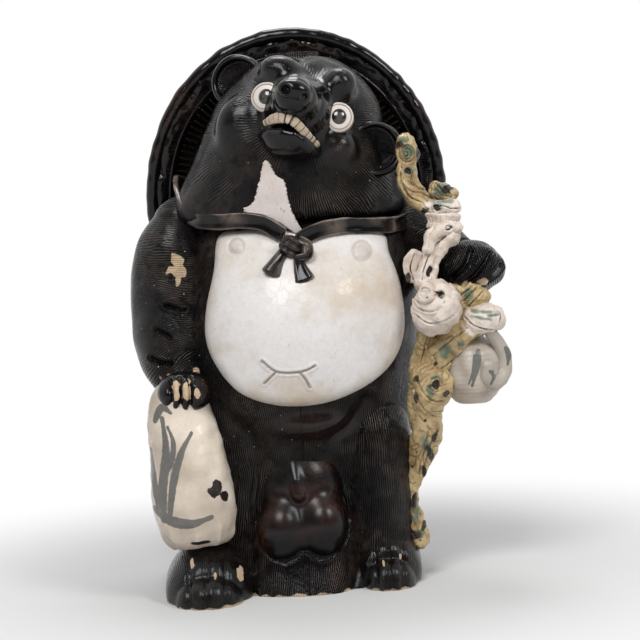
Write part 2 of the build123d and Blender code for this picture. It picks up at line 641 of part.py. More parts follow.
# The figure is moved so that its middle stands over the origin, on the ground.
boxes = [piece.part.bounding_box() for piece in pieces.values()]
low = [min(tuple(box.min)[axis] for box in boxes) for axis in range(3)]
high = [max(tuple(box.max)[axis] for box in boxes) for axis in range(3)]
to_origin = Location((-0.5 * (low[0] + high[0]), -0.5 * (low[1] + high[1]), -low[2]))
for name, piece in pieces.items():
    placed = piece.part.moved(to_origin)
    placed.label = name
    export_step(placed, f"parts/{name}.step")
    print(name, placed.is_valid, round(placed.volume), len(placed.solids()))
print("size", [round(top - bottom, 1) for bottom, top in zip(low, high)], "moved", to_origin.position)
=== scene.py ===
from math import cos, pi, radians, sin

import bpy
import numpy as np
from mathutils import Matrix, Vector


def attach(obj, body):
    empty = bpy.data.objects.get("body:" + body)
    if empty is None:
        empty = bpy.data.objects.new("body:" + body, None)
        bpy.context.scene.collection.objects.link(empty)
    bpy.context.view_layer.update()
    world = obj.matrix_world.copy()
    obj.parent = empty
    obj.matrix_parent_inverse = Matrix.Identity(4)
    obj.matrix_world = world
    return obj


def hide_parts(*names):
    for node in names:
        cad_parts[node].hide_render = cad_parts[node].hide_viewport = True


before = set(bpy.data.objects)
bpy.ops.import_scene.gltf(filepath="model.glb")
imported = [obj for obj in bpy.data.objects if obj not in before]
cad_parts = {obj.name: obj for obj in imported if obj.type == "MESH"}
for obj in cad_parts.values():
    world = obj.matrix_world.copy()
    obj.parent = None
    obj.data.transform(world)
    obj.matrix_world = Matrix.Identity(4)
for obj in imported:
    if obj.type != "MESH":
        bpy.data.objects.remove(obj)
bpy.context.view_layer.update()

# The trunk
# A hollow egg of dark stoneware, pressed in a mould and left open underneath. While the clay was damp
# its fur was scratched in with a comb, from the shoulders down.
SHARE = 0.1  # metres in one share, the unit of the tables of places
MM = 0.001  # metres in a millimetre
ORIGIN = np.array((0.001535, 0.003498, 0.0))  # where the tables' zero lies in the frame


def put(rows):
    """Places in metres from shares across, forward and up."""
    return np.asarray(rows, float) * (SHARE, -SHARE, SHARE) + ORIGIN


def eased(rows, count):
    """A curve through all the rows: between two of them each number follows a Catmull-Rom cubic."""
    rows = np.asarray(rows, float)
    padded = np.vstack((2 * rows[0] - rows[1], rows, 2 * rows[-1] - rows[-2]))
    step = np.linspace(0, len(rows) - 1, count)
    index = np.minimum(step.astype(int), len(rows) - 2)
    t = (step - index)[:, None]
    a, b, c, d = (padded[index + k] for k in range(4))
    return 0.5 * (2 * b + (c - a) * t + (2 * a - 5 * b + 4 * c - d) * t**2 + (3 * b - a - 3 * c + d) * t**3)


def wobble(places, length, seed):
    """Smooth unevenness from -1 to 1: eight sine waves in seeded directions, near the given length."""
    draw = np.random.default_rng(seed)
    total = 0.0
    for _ in range(8):
        way = draw.normal(size=3)
        way *= 2 * pi / length * draw.uniform(0.7, 1.5) / np.linalg.norm(way)
        total = total + np.sin(places @ way + draw.uniform(0, 2 * pi))
    return total / 4


def unit(values):
    """The values, held between 0 and 1."""
    return np.clip(values, 0, 1)


def full_turn(count):
    """Angles all the way round, in equal steps."""
    return np.linspace(0, 2 * pi, count, endpoint=False)


def bell(away, width, power=2):
    """1 at no distance, fading past one width: e to minus the distance in widths to the power."""
    return np.exp(-np.abs(away / width) ** power)


def merged(one, other, blend):
    """The nearer of two distances, rounded into a fillet about as wide as blend where they meet."""
    share = unit(0.5 + 0.5 * (other - one) / blend)
    return other * (1 - share) + one * share - blend * share * (1 - share)


def from_egg(places, rows):
    """Distance from a body of level sections, each half an ellipse in front and half one behind."""
    up, across, half, front, back = eased(rows, 160).T
    height = (places[..., 2] - ORIGIN[2]) / SHARE
    side = (places[..., 0] - ORIGIN[0]) / SHARE - np.interp(height, up, across)
    fore = -(places[..., 1] - ORIGIN[1]) / SHARE
    depth = np.where(fore > 0, np.interp(height, up, front), np.interp(height, up, back))
    width = np.interp(height, up, half)
    near = np.hypot(side / width, fore / depth) + 1e-9
    slope = np.hypot(side / width**2, fore / depth**2) + 1e-9
    beyond = np.maximum(height - up[-1], up[0] - height)
    return SHARE * np.maximum(near * (near - 1) / slope, beyond)


def from_ball(places, centre, radii, axes=None):
    """Distance from an ellipsoid with the given radii in millimetres along its three axes."""
    away = places - put(centre)
    if axes is not None:
        away = away @ np.asarray(axes, float).T
    radii = np.asarray(radii, float) * MM
    near = np.linalg.norm(away / radii, axis=-1) + 1e-9
    slope = np.linalg.norm(away / radii**2, axis=-1) + 1e-9
    return near * (near - 1) / slope


def cast(starts, rays, body, reach, steps=44):
    """Walks in along each ray from its far end, by the body's own distance, until it lies on it."""
    travel = np.full(starts.shape[:-1], reach, float)
    for _ in range(steps):
        travel -= 0.85 * body(starts + rays * travel[..., None])
    return starts + rays * travel[..., None]


def outward(grid):
    """Unit normals of a grid of places: the cross product of its steps along columns and rows."""
    normal = np.cross(np.roll(grid, -1, 1) - np.roll(grid, 1, 1), np.gradient(grid, axis=0))
    if (normal * (grid - grid.mean((0, 1)))).sum() < 0:
        normal = -normal
    return normal / (np.linalg.norm(normal, axis=-1, keepdims=True) + 1e-12)


def pushed(grid, out):
    """The grid with each place moved out along its normal, by so many metres."""
    return grid + outward(grid) * np.broadcast_to(out, grid.shape[:2])[..., None]


def rough_clay(grid, amount, length, seed):
    """The grid pushed in and out by hand-sized unevenness."""
    return pushed(grid, wobble(grid, length, seed) * amount)


def on_ground(grid):
    """The grid with what would reach below the floor pressed flat onto it."""
    return np.concatenate((grid[..., :2], np.maximum(grid[..., 2:], 0.0)), -1)


def steps_along(places, line):
    """For each step of a line: how far along it every place lies, 0 to 1, and its distance from it."""
    for start, end in zip(line[:-1], line[1:]):
        span = end - start
        share = unit((places - start) @ span / (span @ span))
        yield share, np.linalg.norm(places - start - share[..., None] * span, axis=-1)


def drawn(line):
    """A line drawn on the front as pairs of shares across and up, in metres."""
    return put([(across, 0.0, up) for across, up in line])[:, [0, 2]]


def curve(points, count=14):
    """A drawn line that runs smoothly through a few points."""
    return [tuple(pair) for pair in eased(points, count)]


def ring(across, up, radius):
    """A drawn ring, its radius in millimetres."""
    return [(across + 0.01 * radius * cos(t), up + 0.01 * radius * sin(t)) for t in np.linspace(0, 2 * pi, 25)]


def scored(grid, lines, width, depth, lip=0.0, curved=True):
    """Cuts drawn lines into the side that faces the viewer: each place sinks against its normal by a
    bell of its distance, seen from the front, to the nearest line, with a raised lip along the cut. A
    line is a row of points, or a ring's middle and radius. Returns the grid and how deep each place is cut."""
    nearest = 9.0
    for line in lines:
        line = ring(*line) if np.ndim(line) == 1 else curve(line) if curved else line
        for _, away in steps_along(grid[..., [0, 2]], drawn(line)):
            nearest = np.minimum(nearest, away)
    facing = unit(-outward(grid)[..., 1] * 2)
    cut, ridge = bell(nearest, width) * facing, bell(nearest - 1.9 * width, width) * facing
    return pushed(grid, ridge * lip - cut * depth), cut


def marked(*three):
    """Three numbers at each place, for a glaze to read."""
    return np.stack(np.broadcast_arrays(*three), -1)


def looking(rise, turn):
    """Unit arrows, each turned round the upright and lifted by its rise."""
    return marked(np.cos(rise) * np.cos(turn), np.cos(rise) * np.sin(turn), np.sin(rise))


def combed(across, along, bite=1.0):
    """The mark comb: millimetres across the teeth, millimetres along them, and how strongly they bite."""
    return {"comb": marked(across, along, bite)}


def worn(bared, sunk=0.0, third=0.0):
    """The mark wear: what is chipped bare; what is sunk, dirty or darker, which along the belly's outline is
    painted shade; and a third number, which is where a dark glaze has run thin (on the hat's ribs a painted
    highlight) and where a white one is brushed with ink."""
    return {"wear": marked(bared, sunk, third)}


def hem(grid, seed):
    """How far the glaze is wiped off the foot, within about 3 mm of the ground."""
    return 0.7 * unit(1 - grid[..., 2] / 0.003 + wobble(grid, 0.012, seed) * 0.5)


def clay(name, grid, node, glaze, marks=None, closed=True, many=1):
    """A piece from a grid of places whose last column meets its first. Each end row closes on its middle.
    A grid of many equal tubes lists them one after another. Marks are three numbers at each place that
    the glaze reads, such as the comb's. Faces are turned outwards."""
    rows, columns = grid.shape[:2]
    index = np.arange(rows * columns).reshape(many, rows // many, columns)
    after = np.roll(index, -1, 2)
    quads = np.stack((index[:, :-1], after[:, :-1], after[:, 1:], index[:, 1:]), -1).reshape(-1, 4)
    ends = [0, -1] if closed else []
    rims = index[:, ends]
    middles = rows * columns + np.arange(many * len(ends)).reshape(many, len(ends), 1)
    fans = np.stack(np.broadcast_arrays(rims, after[:, ends], middles), -1)
    fans[:, :1] = fans[:, :1, :, ::-1].copy()  # the first row's fan faces the other way
    triangles = fans.reshape(-1, 3)

    def with_middles(values):
        values = np.broadcast_to(values, (rows, columns, 3)).reshape(-1, 3)
        return np.vstack((values, values[rims].mean(2).reshape(-1, 3)))

    points = with_middles(grid)
    corners = np.concatenate((quads[:, :3], quads[:, [0, 2, 3]], triangles))
    a, b, c = (points[corners[:, k]] for k in range(3))
    if (a * np.cross(b, c)).sum() < 0:
        quads, triangles = quads[:, ::-1], triangles[:, ::-1]
    mesh = bpy.data.meshes.new(name)
    mesh.from_pydata(points.tolist(), [], quads.tolist() + triangles.tolist())
    mesh.polygons.foreach_set("use_smooth", np.ones(len(mesh.polygons), bool))
    for mark, values in (marks or {}).items():
        layer = mesh.attributes.new(mark, "FLOAT_VECTOR", "POINT")
        layer.data.foreach_set("vector", with_middles(values).astype(np.float32).ravel())
    mesh.update()
    mesh.materials.append(glaze)
    piece = bpy.data.objects.new(name, mesh)
    bpy.context.scene.collection.objects.link(piece)
    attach(piece, "root")
    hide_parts(node)


def operator(operation, swapped=False):
    """A method that stands for one of Python's operators and adds its Math node."""
    def method(self, other):
        return self.recipe.node("Math", {"operation": operation}, (other, self) if swapped else (self, other))
    return method


class Value:
    """One socket in a material's nodes. A sum, product or comparison of it adds its Math node."""
    __add__ = __radd__ = operator("ADD")
    __sub__, __rsub__ = operator("SUBTRACT"), operator("SUBTRACT", swapped=True)
    __mul__ = __rmul__ = operator("MULTIPLY")
    __truediv__, __gt__ = operator("DIVIDE"), operator("GREATER_THAN")
    __pow__, __rpow__ = operator("POWER"), operator("POWER", swapped=True)

    def __init__(self, recipe, socket):
        self.recipe, self.socket = recipe, socket

    def math(self, operation, *others):
        return self.recipe.node("Math", {"operation": operation}, (self, *others))

    def ramp(self, low, high, start=0.0, end=1.0, shape="SMOOTHSTEP"):
        """From start to end while the value goes from low to high, eased at both ends or straight."""
        return self.recipe.node("MapRange", {"interpolation_type": shape},
                                {"Value": self, "From Min": low, "From Max": high,
                                 "To Min": start, "To Max": end})


class Recipe:
    """The nodes of one material or world. Noise and cells lie on the object's own coordinates."""

    def __init__(self, name, shelf=None):
        self.made = (bpy.data.materials if shelf is None else shelf).new(name)
        self.made.use_nodes = True
        self.tree = self.made.node_tree
        self.place = self.node("TexCoord", output="Object")

    def put_in(self, socket, value):
        if isinstance(value, Value):
            self.tree.links.new(value.socket, socket)
        else:
            socket.default_value = value

    def node(self, kind, settings=None, inputs=(), output=0):
        """Adds one node: its settings first, then a value or a link for each socket named or listed."""
        made = self.tree.nodes.new("ShaderNode" + kind)
        for key, value in (settings or {}).items():
            setattr(made, key, value)
        for key, value in inputs.items() if isinstance(inputs, dict) else enumerate(inputs):
            self.put_in(made.inputs[key], value)
        return Value(self, made.outputs[output])

    def parts(self, vector):
        return [self.node("SeparateXYZ", inputs=[vector], output=axis) for axis in "XYZ"]

    def mark(self, name):
        return self.parts(self.node("Attribute", {"attribute_name": name}, output="Vector"))

    def noise(self, scale, detail=3.0, rough=0.55):
        return self.node("TexNoise", inputs={"Vector": self.place, "Scale": scale, "Detail": detail,
                                             "Roughness": rough})

    def cells(self, scale, feature="F1", output="Distance", at=None):
        return self.node("TexVoronoi", {"feature": feature},
                         {"Vector": at or self.place, "Scale": scale}, output)

    def chance(self, scale, channel=1, at=None):
        """A random number for each cell."""
        return self.node("SeparateColor", inputs=[self.cells(scale, output="Color", at=at)], output=channel)

    def ragged(self, mark, noise, amount, low, high):
        """A mark as a patch with a broken edge: noise is added before the step from low to high."""
        return (mark + (noise - 0.5) * amount).ramp(low, high)

    def tint(self, share, first, second):
        first, second = ((*c, 1.0) if isinstance(c, tuple) else c for c in (first, second))
        return self.node("Mix", {"data_type": "RGBA"}, {0: share, 6: first, 7: second}, output=2)

    def finish(self, relief=None, depth=0.0, **inputs):
        """Sets the shader's sockets, with a bump of the relief, so many metres deep. Returns the material."""
        if relief is not None:
            inputs["Normal"] = self.node("Bump", inputs={"Height": relief, "Distance": depth})
        for key, value in inputs.items():
            value = (*value, 1.0) if isinstance(value, tuple) else value
            self.put_in(self.tree.nodes["Principled BSDF"].inputs[key.replace("_", " ")], value)
        return self.made


def dark_glaze(name, fan=False, comb_depth=0.0010, thin=0.5, seed=0.0, thinned=(0.15, 0.115, 0.085),
               sheen=(0.05, 0.15), wet=0.19):
    """Near-black iron glaze over combed clay. It pools in the scratches and breaks to brown on their edges, a
    grey-brown on the comb's ridges that is partly painted highlight standing in for their glints.
    Strokes of the comb are cells with their own tilt; on a fan the teeth double where they spread. The
    marks comb and wear say where it is scratched, smooth, chipped, gouged and thin."""
    mix = Recipe(name)
    across, along, bite = mix.mark("comb")
    bared, sunk, sheer = mix.mark("wear")
    pitch, stroke_wide, stroke_long, fan_start = 1.8, 17.0, 46.0, 34.0  # millimetres
    drift = mix.noise(45.0)
    if fan:
        doubled = ((along / fan_start).math("LOGARITHM", 2.0) + drift * 1.2).math("FLOOR")
        across = across * 2.0 ** doubled
    stroke = mix.node("CombineXYZ", inputs=[across * (1 / stroke_wide), along * (1 / stroke_long) + seed, seed])
    tilt = mix.chance(1.0, 0, at=stroke)
    edge = mix.cells(1.0, "DISTANCE_TO_EDGE", at=stroke)
    phase = across * (1 / pitch) + tilt * 7.0 + (tilt - 0.5) * along * 0.12 + drift * 2.4
    tooth = (phase * (2 * pi)).math("COSINE") * 0.5 + 0.5
    patchy = mix.noise(130.0, 2.0).ramp(0.3, 0.62)
    scratch = (tooth ** 2.2) * bite * (patchy * 0.6 + 0.4) * edge.ramp(0.0, 0.06, 0.55, 1.0)
    lumps = mix.noise(260.0, 4.0)
    height = mix.noise(38.0, 2.0) * (bite * 1.2 + 0.8) + lumps * (bite * 0.6 + 0.06) - scratch
    brown = mix.noise(22.0, 5.0, 0.62).ramp(0.5, 0.74) * thin
    colour = mix.tint(brown * mix.noise(420.0, 2.0).ramp(0.35, 0.7),
                      (0.0030, 0.0025, 0.0029), (0.050, 0.020, 0.010))
    # Grey-brown on the comb's ridges: partly the glaze breaking thin there, partly painted highlight standing
    # in for their glints.
    ridge = (1 - tooth).ramp(0.45, 0.95) * bite * (1 - sunk) * patchy * mix.noise(26.0, 4.0).ramp(0.35, 0.62)
    colour = mix.tint(ridge * 0.45, colour, (0.145, 0.112, 0.090))
    colour = mix.tint(sheer * mix.noise(150.0, 4.0).ramp(0.25, 0.6, 0.35, 1.0), colour, thinned)
    crumb = (mix.chance(330.0) > 0.965) * (mix.cells(330.0) + lumps * 0.3).ramp(0.36, 0.26)
    crumb = crumb * mix.noise(16.0, 2.0).ramp(0.4, 0.62) * bite.ramp(0.0, 0.5, 0.2, 1.0)
    chip = crumb.math("MAXIMUM", mix.ragged(bared, mix.noise(300.0, 3.0), 0.7, 0.42, 0.56))
    colour = mix.tint(chip, colour, mix.tint(mix.noise(200.0), (0.44, 0.30, 0.17), (0.66, 0.53, 0.38)))
    rough = mix.noise(60.0, 3.0).ramp(0.3, 0.75, *sheen) + scratch * 0.10 + chip * 0.5
    return mix.finish(height - chip * 0.8, comb_depth, Base_Color=colour, Roughness=rough,
                      Specular_IOR_Level=0.16, Coat_Weight=(1 - bite) * 0.30, Coat_Roughness=wet)


TRUNK = (  # level sections: up, its middle across, half its width, reach to the front, to the back
    (0.00, -0.24, 0.86, 0.92, 0.70), (0.30, -0.26, 0.88, 0.77, 0.74), (0.75, -0.28, 0.92, 0.66, 0.78),
    (1.20, -0.27, 0.98, 0.72, 0.80), (1.50, -0.24, 1.00, 0.84, 0.80), (1.80, -0.19, 0.99, 0.92, 0.77),
    (2.10, -0.15, 0.97, 0.94, 0.70), (2.40, -0.13, 0.93, 0.84, 0.60), (2.65, -0.13, 0.89, 0.66, 0.52),
    (2.85, -0.14, 0.84, 0.50, 0.47), (3.00, -0.16, 0.70, 0.40, 0.42),
)
ROLL_MIDDLE = (-0.14, 0.62, 1.30)
VALLEYS = (
    ((0.339, 1.418), (0.206, 1.260), (0.083, 1.149), (0.031, 1.034), (0.075, 0.836), (0.158, 0.634),
     (0.228, 0.473), (0.230, 0.196), (0.171, 0.0)),
    ((-0.828, 1.448), (-0.703, 1.308), (-0.600, 1.184), (-0.580, 1.040), (-0.620, 0.871), (-0.64, 0.558),
     (-0.66, 0.243), (-0.70, 0.0)),
)
POUCH_EDGE = ((-0.545, 0.90), (-0.586, 0.70), (-0.579, 0.549), (-0.543, 0.397), (-0.469, 0.272),
              (-0.366, 0.234), (-0.275, 0.271), (-0.212, 0.334), (-0.169, 0.287), (-0.082, 0.240),
              (0.024, 0.270), (0.110, 0.377), (0.138, 0.511), (0.119, 0.663), (0.055, 0.84))


def trunk_body(places):
    """The egg of the trunk, with the roll of fat under the belly pressed onto it."""
    return merged(from_egg(places, TRUNK), from_ball(places, ROLL_MIDDLE, (33, 20, 13)), 0.008)


def rays_round(heights, columns, across=-0.18, rise=0.0):
    """Rays all round from an upright line, one row of them at each height, lifted by the row's rise."""
    turn = full_turn(columns) - pi / 2
    heights, rise = (np.broadcast_to(k, len(heights))[:, None] for k in (heights, rise))
    starts = np.zeros((len(heights), columns, 3)) + put((across, 0.0, 0.0))
    starts[..., 2] = heights
    return starts, looking(rise, turn), turn


starts, rays, turn = rays_round(np.linspace(0.0, 0.2999, 170), 480)
outer = cast(starts, rays, trunk_body, 0.16)
outer, valley_cut_and_shade = scored(outer, VALLEYS, 0.009, 0.0055, curved=False)
outer, groove = scored(outer, [POUCH_EDGE], 0.0011, 0.0012, 0.0013, curved=False)
outer = on_ground(rough_clay(outer, 0.0006, 0.05, 1))
outer[0, :, 2] = 0.0
inner = (starts + (outer - starts) * 0.9)[:153:5][::-1]  # the wall, a tenth of the way in, up to the shoulders
grid = np.concatenate((inner, outer))
wiped = bell(unit(from_ball(grid, ROLL_MIDDLE, (34, 20, 13))), 0.005, 1)
# The valleys are smoothed, so the comb bites less there and they are glossier. Losing the brown ridges darkens
# the glaze, and that darkness is painted shade in the creases.
smooth = np.concatenate((np.zeros(inner.shape[:2]), valley_cut_and_shade * 0.45 + groove)) + wiped * 0.8
clay("trunk", grid, "body_shell", dark_glaze("trunk_glaze", thinned=(0.062, 0.030, 0.020)),
     combed(turn * 95.0, grid[..., 2] * 1000, unit(1 - smooth)) | worn(hem(grid, 3), 0.0, wiped * 0.2))

# The belly
# The belly and chest are dipped in a thick white feldspar glaze, which stands off the dark clay. It is
# crazed, stained beige where it ran thin, and has a navel crease cut in before firing.
BELLY = (
    (-0.76, 2.78), (-0.81, 2.50), (-0.88, 2.22), (-0.89, 1.98), (-0.81, 1.77), (-0.65, 1.58),
    (-0.42, 1.48), (-0.15, 1.45), (0.12, 1.49), (0.40, 1.61), (0.58, 1.78), (0.66, 2.02),
    (0.64, 2.34), (0.57, 2.58), (0.52, 2.74), (0.20, 2.80), (-0.20, 2.80), (-0.55, 2.82),
)
NAVEL = [
    ((-0.455, 1.821), (-0.41, 1.775), (-0.353, 1.735), (-0.27, 1.72), (-0.172, 1.723), (-0.11, 1.737),
     (-0.056, 1.765)),
    ((-0.353, 1.732), (-0.40, 1.69), (-0.449, 1.646)),
    ((-0.180, 1.723), (-0.135, 1.665), (-0.103, 1.597)),
]
NIPPLES = ((-0.62, 2.695, 0.0040), (0.354, 2.61, 0.0050))  # across, up, radius in metres


def white_glaze(name, stain=1.0, crazed=1.0, dirt=0.3, white=(0.77, 0.745, 0.735)):
    """Thick white glaze: a warm white with beige stains, a net of fine cracks and iron specks. The mark wear
    gives bare chips, darker places and brushed ink: the darker places are dirty cuts and stains, and along the
    belly's outline painted shade."""
    mix = Recipe(name)
    bared, sunk, ink = mix.mark("wear")
    fine = mix.noise(90.0, 4.0, 0.6)
    colour = mix.tint(mix.noise(14.0, 4.0, 0.6).ramp(0.42, 0.72) * stain, white, (0.58, 0.49, 0.39))
    colour = mix.tint(fine.ramp(0.5, 0.8) * 0.35 * stain, colour, (0.56, 0.50, 0.43))
    net = mix.cells(170.0, "DISTANCE_TO_EDGE").ramp(0.03, 0.0)
    colour = mix.tint(net * 0.16 * crazed, colour, (0.42, 0.33, 0.25))
    speck = (mix.chance(210.0) > 0.975) * mix.cells(210.0).ramp(0.2, 0.1)
    colour = mix.tint(speck * dirt, colour, (0.10, 0.06, 0.04))
    # Darker brown for sunk places: dirty cuts and stains, the flask's darker ends, and painted shade along the
    # belly's outline.
    colour = mix.tint(sunk, colour, (0.20, 0.13, 0.08))
    bared = mix.ragged(bared, mix.noise(300.0, 3.0), 0.6, 0.42, 0.56)
    brushed = mix.ragged(ink, mix.noise(240.0, 3.0), 0.5, 0.35, 0.62) * 0.88
    colour = mix.tint(brushed, colour, mix.tint(mix.noise(70.0), (0.035, 0.04, 0.045), (0.15, 0.155, 0.15)))
    colour = mix.tint(bared, colour, (0.020, 0.014, 0.012))
    return mix.finish(mix.noise(30.0, 2.0) + fine * 0.3 - net * 0.06 - bared * 0.4, 0.0012, Base_Color=colour,
                      Roughness=fine.ramp(0.3, 0.8, 0.22, 0.42), Specular_IOR_Level=0.35)


def trunk_front(side, height, rows=TRUNK):
    """How far forward the trunk's egg reaches at a place across and up, all in shares."""
    up, across, half, front, _ = eased(rows, 160).T
    lean = np.clip((side - np.interp(height, up, across)) / np.interp(height, up, half), -0.999, 0.999)
    return np.interp(height, up, front) * np.sqrt(1 - lean**2)


def slab(outline, relief, rows=TRUNK, rings=90, columns=420, soft=0.12):
    """A pad on the front of an egg: rings shrink from its outline to its middle, raised by relief with a
    rounded edge, and come back behind. Returns the grid and how many of its rows lie in front."""
    loop = eased(np.vstack((outline[-1:], outline, outline[:2])), (len(outline) + 2) * 40 + 1)[40:-40]
    reach = np.concatenate(([0], np.cumsum(np.linalg.norm(np.diff(loop, axis=0), axis=1))))
    at = np.linspace(0, reach[-1], columns, endpoint=False)
    loop = np.stack([np.interp(at, reach, loop[:, k]) for k in (0, 1)], -1)
    out = np.sin(np.linspace(0.02, pi / 2, rings))
    flat = loop.mean(0) + (loop - loop.mean(0)) * out[:, None, None]
    rim = unit((1 - out) / soft)
    raised = relief * np.sqrt(1 - (1 - rim) ** 2)[:, None] - 0.05 * (rim < 1e-6)[:, None]
    front = np.stack((flat[..., 0], trunk_front(flat[..., 0], flat[..., 1], rows) + raised, flat[..., 1]), -1)
    back = front[::-6] - (0, 0.08, 0)
    return put(np.concatenate((front, back[1:]))), len(front)


grid, front_rows = slab(BELLY, 0.05)
front, cut = scored(grid[:front_rows], NAVEL, 0.0009, 0.0018, 0.0008)
tinted = 0.0
for across, up, size in NIPPLES:
    away = np.linalg.norm(front[..., [0, 2]] - drawn([(across, up)])[0], axis=-1)
    moat = bell(away - 1.45 * size, 0.0011)
    front[..., 1] -= 0.0020 * bell(away, size, 6) - 0.0010 * moat
    tinted = np.maximum(tinted, np.maximum(moat, 0.7 * bell(away, size, 4)))
# Painted shade: the white darkens towards the belly's outline, where its rounded edge turns away. The navel cut
# and the nipples are darkened too.
edge_shade = unit((np.sin(np.linspace(0.02, pi / 2, front_rows)) - 0.86) / 0.14)[:, None]
darkened = np.zeros(grid.shape[:2])
darkened[:front_rows] = np.maximum(np.maximum(cut * 0.6, tinted * 0.33), 0.30 * edge_shade**2)
grid[:front_rows] = front
clay("belly_glaze", grid, "belly", white_glaze("white_glaze_crazed"), worn(0.0, darkened))

# The head and throat
# The head is a bell with a wide ruff of combed fur. Brows, cheeks and muzzle are lumps pressed on and
# smoothed with a wet finger, so they stay glossy while the fur round them is scratched. The throat has
# a blaze of the white glaze.
HEAD = (
    (2.86, -0.19, 0.80, 0.47, 0.43), (2.90, -0.20, 0.92, 0.58, 0.51),
    (2.99, -0.20, 0.945, 0.61, 0.54), (3.12, -0.20, 0.90, 0.62, 0.54), (3.32, -0.16, 0.83, 0.60, 0.54),
    (3.52, -0.15, 0.75, 0.57, 0.53), (3.73, -0.11, 0.69, 0.54, 0.52), (3.88, -0.10, 0.62, 0.50, 0.50),
    (4.04, -0.10, 0.49, 0.41, 0.42), (4.14, -0.09, 0.34, 0.30, 0.31), (4.20, -0.09, 0.19, 0.17, 0.18),
    (4.22, -0.09, 0.04, 0.04, 0.04),
)
TILT = radians(15)
FACE = np.array(((cos(TILT), 0, -sin(TILT)), (0, 1, 0), (sin(TILT), 0, cos(TILT))))
MUZZLE = ((-0.07, 0.34, 3.68), (-0.08, 0.56, 3.73), (-0.10, 0.74, 3.79), (-0.11, 0.82, 3.81))
SMOOTH_LUMPS = (
    ((-0.20, 0.41, 4.04), (17, 14, 12)), ((0.25, 0.44, 3.91), (13, 13, 13)),
    ((-0.54, 0.38, 3.64), (19, 15, 22)), ((0.20, 0.50, 3.42), (15, 12, 13)),
)
BLAZE = (
    (-0.375, 3.33), (-0.387, 3.28), (-0.410, 3.19), (-0.433, 3.12), (-0.454, 3.054), (-0.493, 3.007),
    (-0.544, 2.984), (-0.523, 2.95), (-0.406, 2.925), (-0.281, 2.86), (-0.179, 2.785), (-0.116, 2.745),
    (-0.092, 2.765), (-0.145, 2.873), (-0.180, 2.965), (-0.205, 3.094), (-0.222, 3.181), (-0.283, 3.227),
    (-0.322, 3.314), (-0.348, 3.345),
)
THROAT = ((2.70, -0.20, 0.92, 0.58, 0.51), (2.80, -0.20, 0.92, 0.60, 0.51)) + HEAD[2:]


def from_limb(places, path, radii):
    """Distance from a chain of round cones: at each place it is that to the nearest one."""
    radii = np.asarray(radii, float) * MM
    return np.min([away - thick - share * (thin - thick) for (share, away), thick, thin
                   in zip(steps_along(places, put(path)), radii[:-1], radii[1:])], axis=0)


def head_body(places):
    """The bell of the head, the two brows and cheeks, and the muzzle, merged with wide fillets."""
    body = from_egg(places, HEAD)
    for centre, radii in SMOOTH_LUMPS:
        body = merged(body, from_ball(places, centre, radii, FACE), 0.011)
    return merged(body, from_limb(places, MUZZLE, (27, 24, 18, 15)), 0.014)


level_rows, dome_rows = 106, 84  # rays look out level up to the eyes, and from there ever more upwards
low, eyes = 0.2861, 0.375
levels = np.concatenate((np.linspace(low, eyes, level_rows), np.full(dome_rows, eyes)))
rise = np.concatenate((np.zeros(level_rows), np.linspace(0.008, pi / 2 - 0.01, dome_rows)))
starts, _, turn = rays_round(levels, 520, -0.11, rise)
turn = turn - 0.165 * np.sin(2 * (turn + pi / 2))  # more rays towards the face
grid = cast(starts, looking(rise[:, None], turn), head_body, 0.13)
right, up = np.moveaxis(grid[..., [0, 2]] - drawn([(-0.10, 3.66)])[0], -1, 0)  # from the middle of the face
smooth = sum(bell(np.linalg.norm((grid - put(centre)) @ FACE.T / (np.array(radii) * 0.00140), axis=-1), 1, 5)
             for centre, radii in SMOOTH_LUMPS)
near_snout = bell(unit(from_limb(grid, MUZZLE, (29, 27, 24, 22))), 0.003, 1)
clay("head_bell", grid, "head", dark_glaze("head_glaze", fan=True, seed=3.0),
     combed(np.arctan2(right, up) * 34.0, np.hypot(right, up) * 1000, unit(1 - smooth - near_snout)))
grid, _ = slab(BLAZE, 0.02, THROAT, rings=44, columns=400, soft=0.08)
grid[..., 0] += wobble(grid, 0.003, 61) * 0.0006
clay("throat_blaze_glaze", grid, "throat_blaze",
     white_glaze("throat_glaze", stain=0.8, white=(0.64, 0.575, 0.565)))

# The jaw, nose and teeth
# The jaw and nose pad are modelled onto the muzzle, and the nose has two holes pushed in with a stick.
# The upper teeth are a ribbon of bare clay along the lip, with notches cut by a knife.
LEVEL, UPRIGHT, INWARD = (1, 0, 0), (0, 0, 1), (0, 1, 0)
EYE_LINE = (cos(TILT), 0, -sin(TILT))
JAW = ((-0.13, 0.36, 3.40), (-0.16, 0.50, 3.44), (-0.17, 0.58, 3.46))
LOWER_LIP = ((-0.38, 0.56, 3.535), (-0.30, 0.66, 3.545), (-0.20, 0.74, 3.535), (-0.13, 0.76, 3.515),
             (-0.07, 0.74, 3.475), (-0.01, 0.69, 3.415), (0.04, 0.61, 3.37))
LIP = ((-0.34, 0.64, 3.63), (-0.27, 0.74, 3.65), (-0.20, 0.82, 3.65), (-0.14, 0.84, 3.63),
       (-0.08, 0.80, 3.58), (-0.02, 0.73, 3.51), (0.05, 0.64, 3.44))
TOOTH = 5.6  # millimetres from cut to cut
SMOOTH_BLACK = dark_glaze("smooth_glaze", comb_depth=0.0006, thin=0.75, seed=5.0, sheen=(0.07, 0.2))


def bare(grid, bite=0.0):
    """The comb's mark for a smooth piece."""
    return combed(grid[..., 0] * 1000, grid[..., 2] * 1000, bite)


def sphere(rows, columns, start):
    """How far up each row of a sphere looks, start short of straight down and up, and each column's turn."""
    return np.linspace(start - pi / 2, pi / 2 - start, rows)[:, None], full_turn(columns)


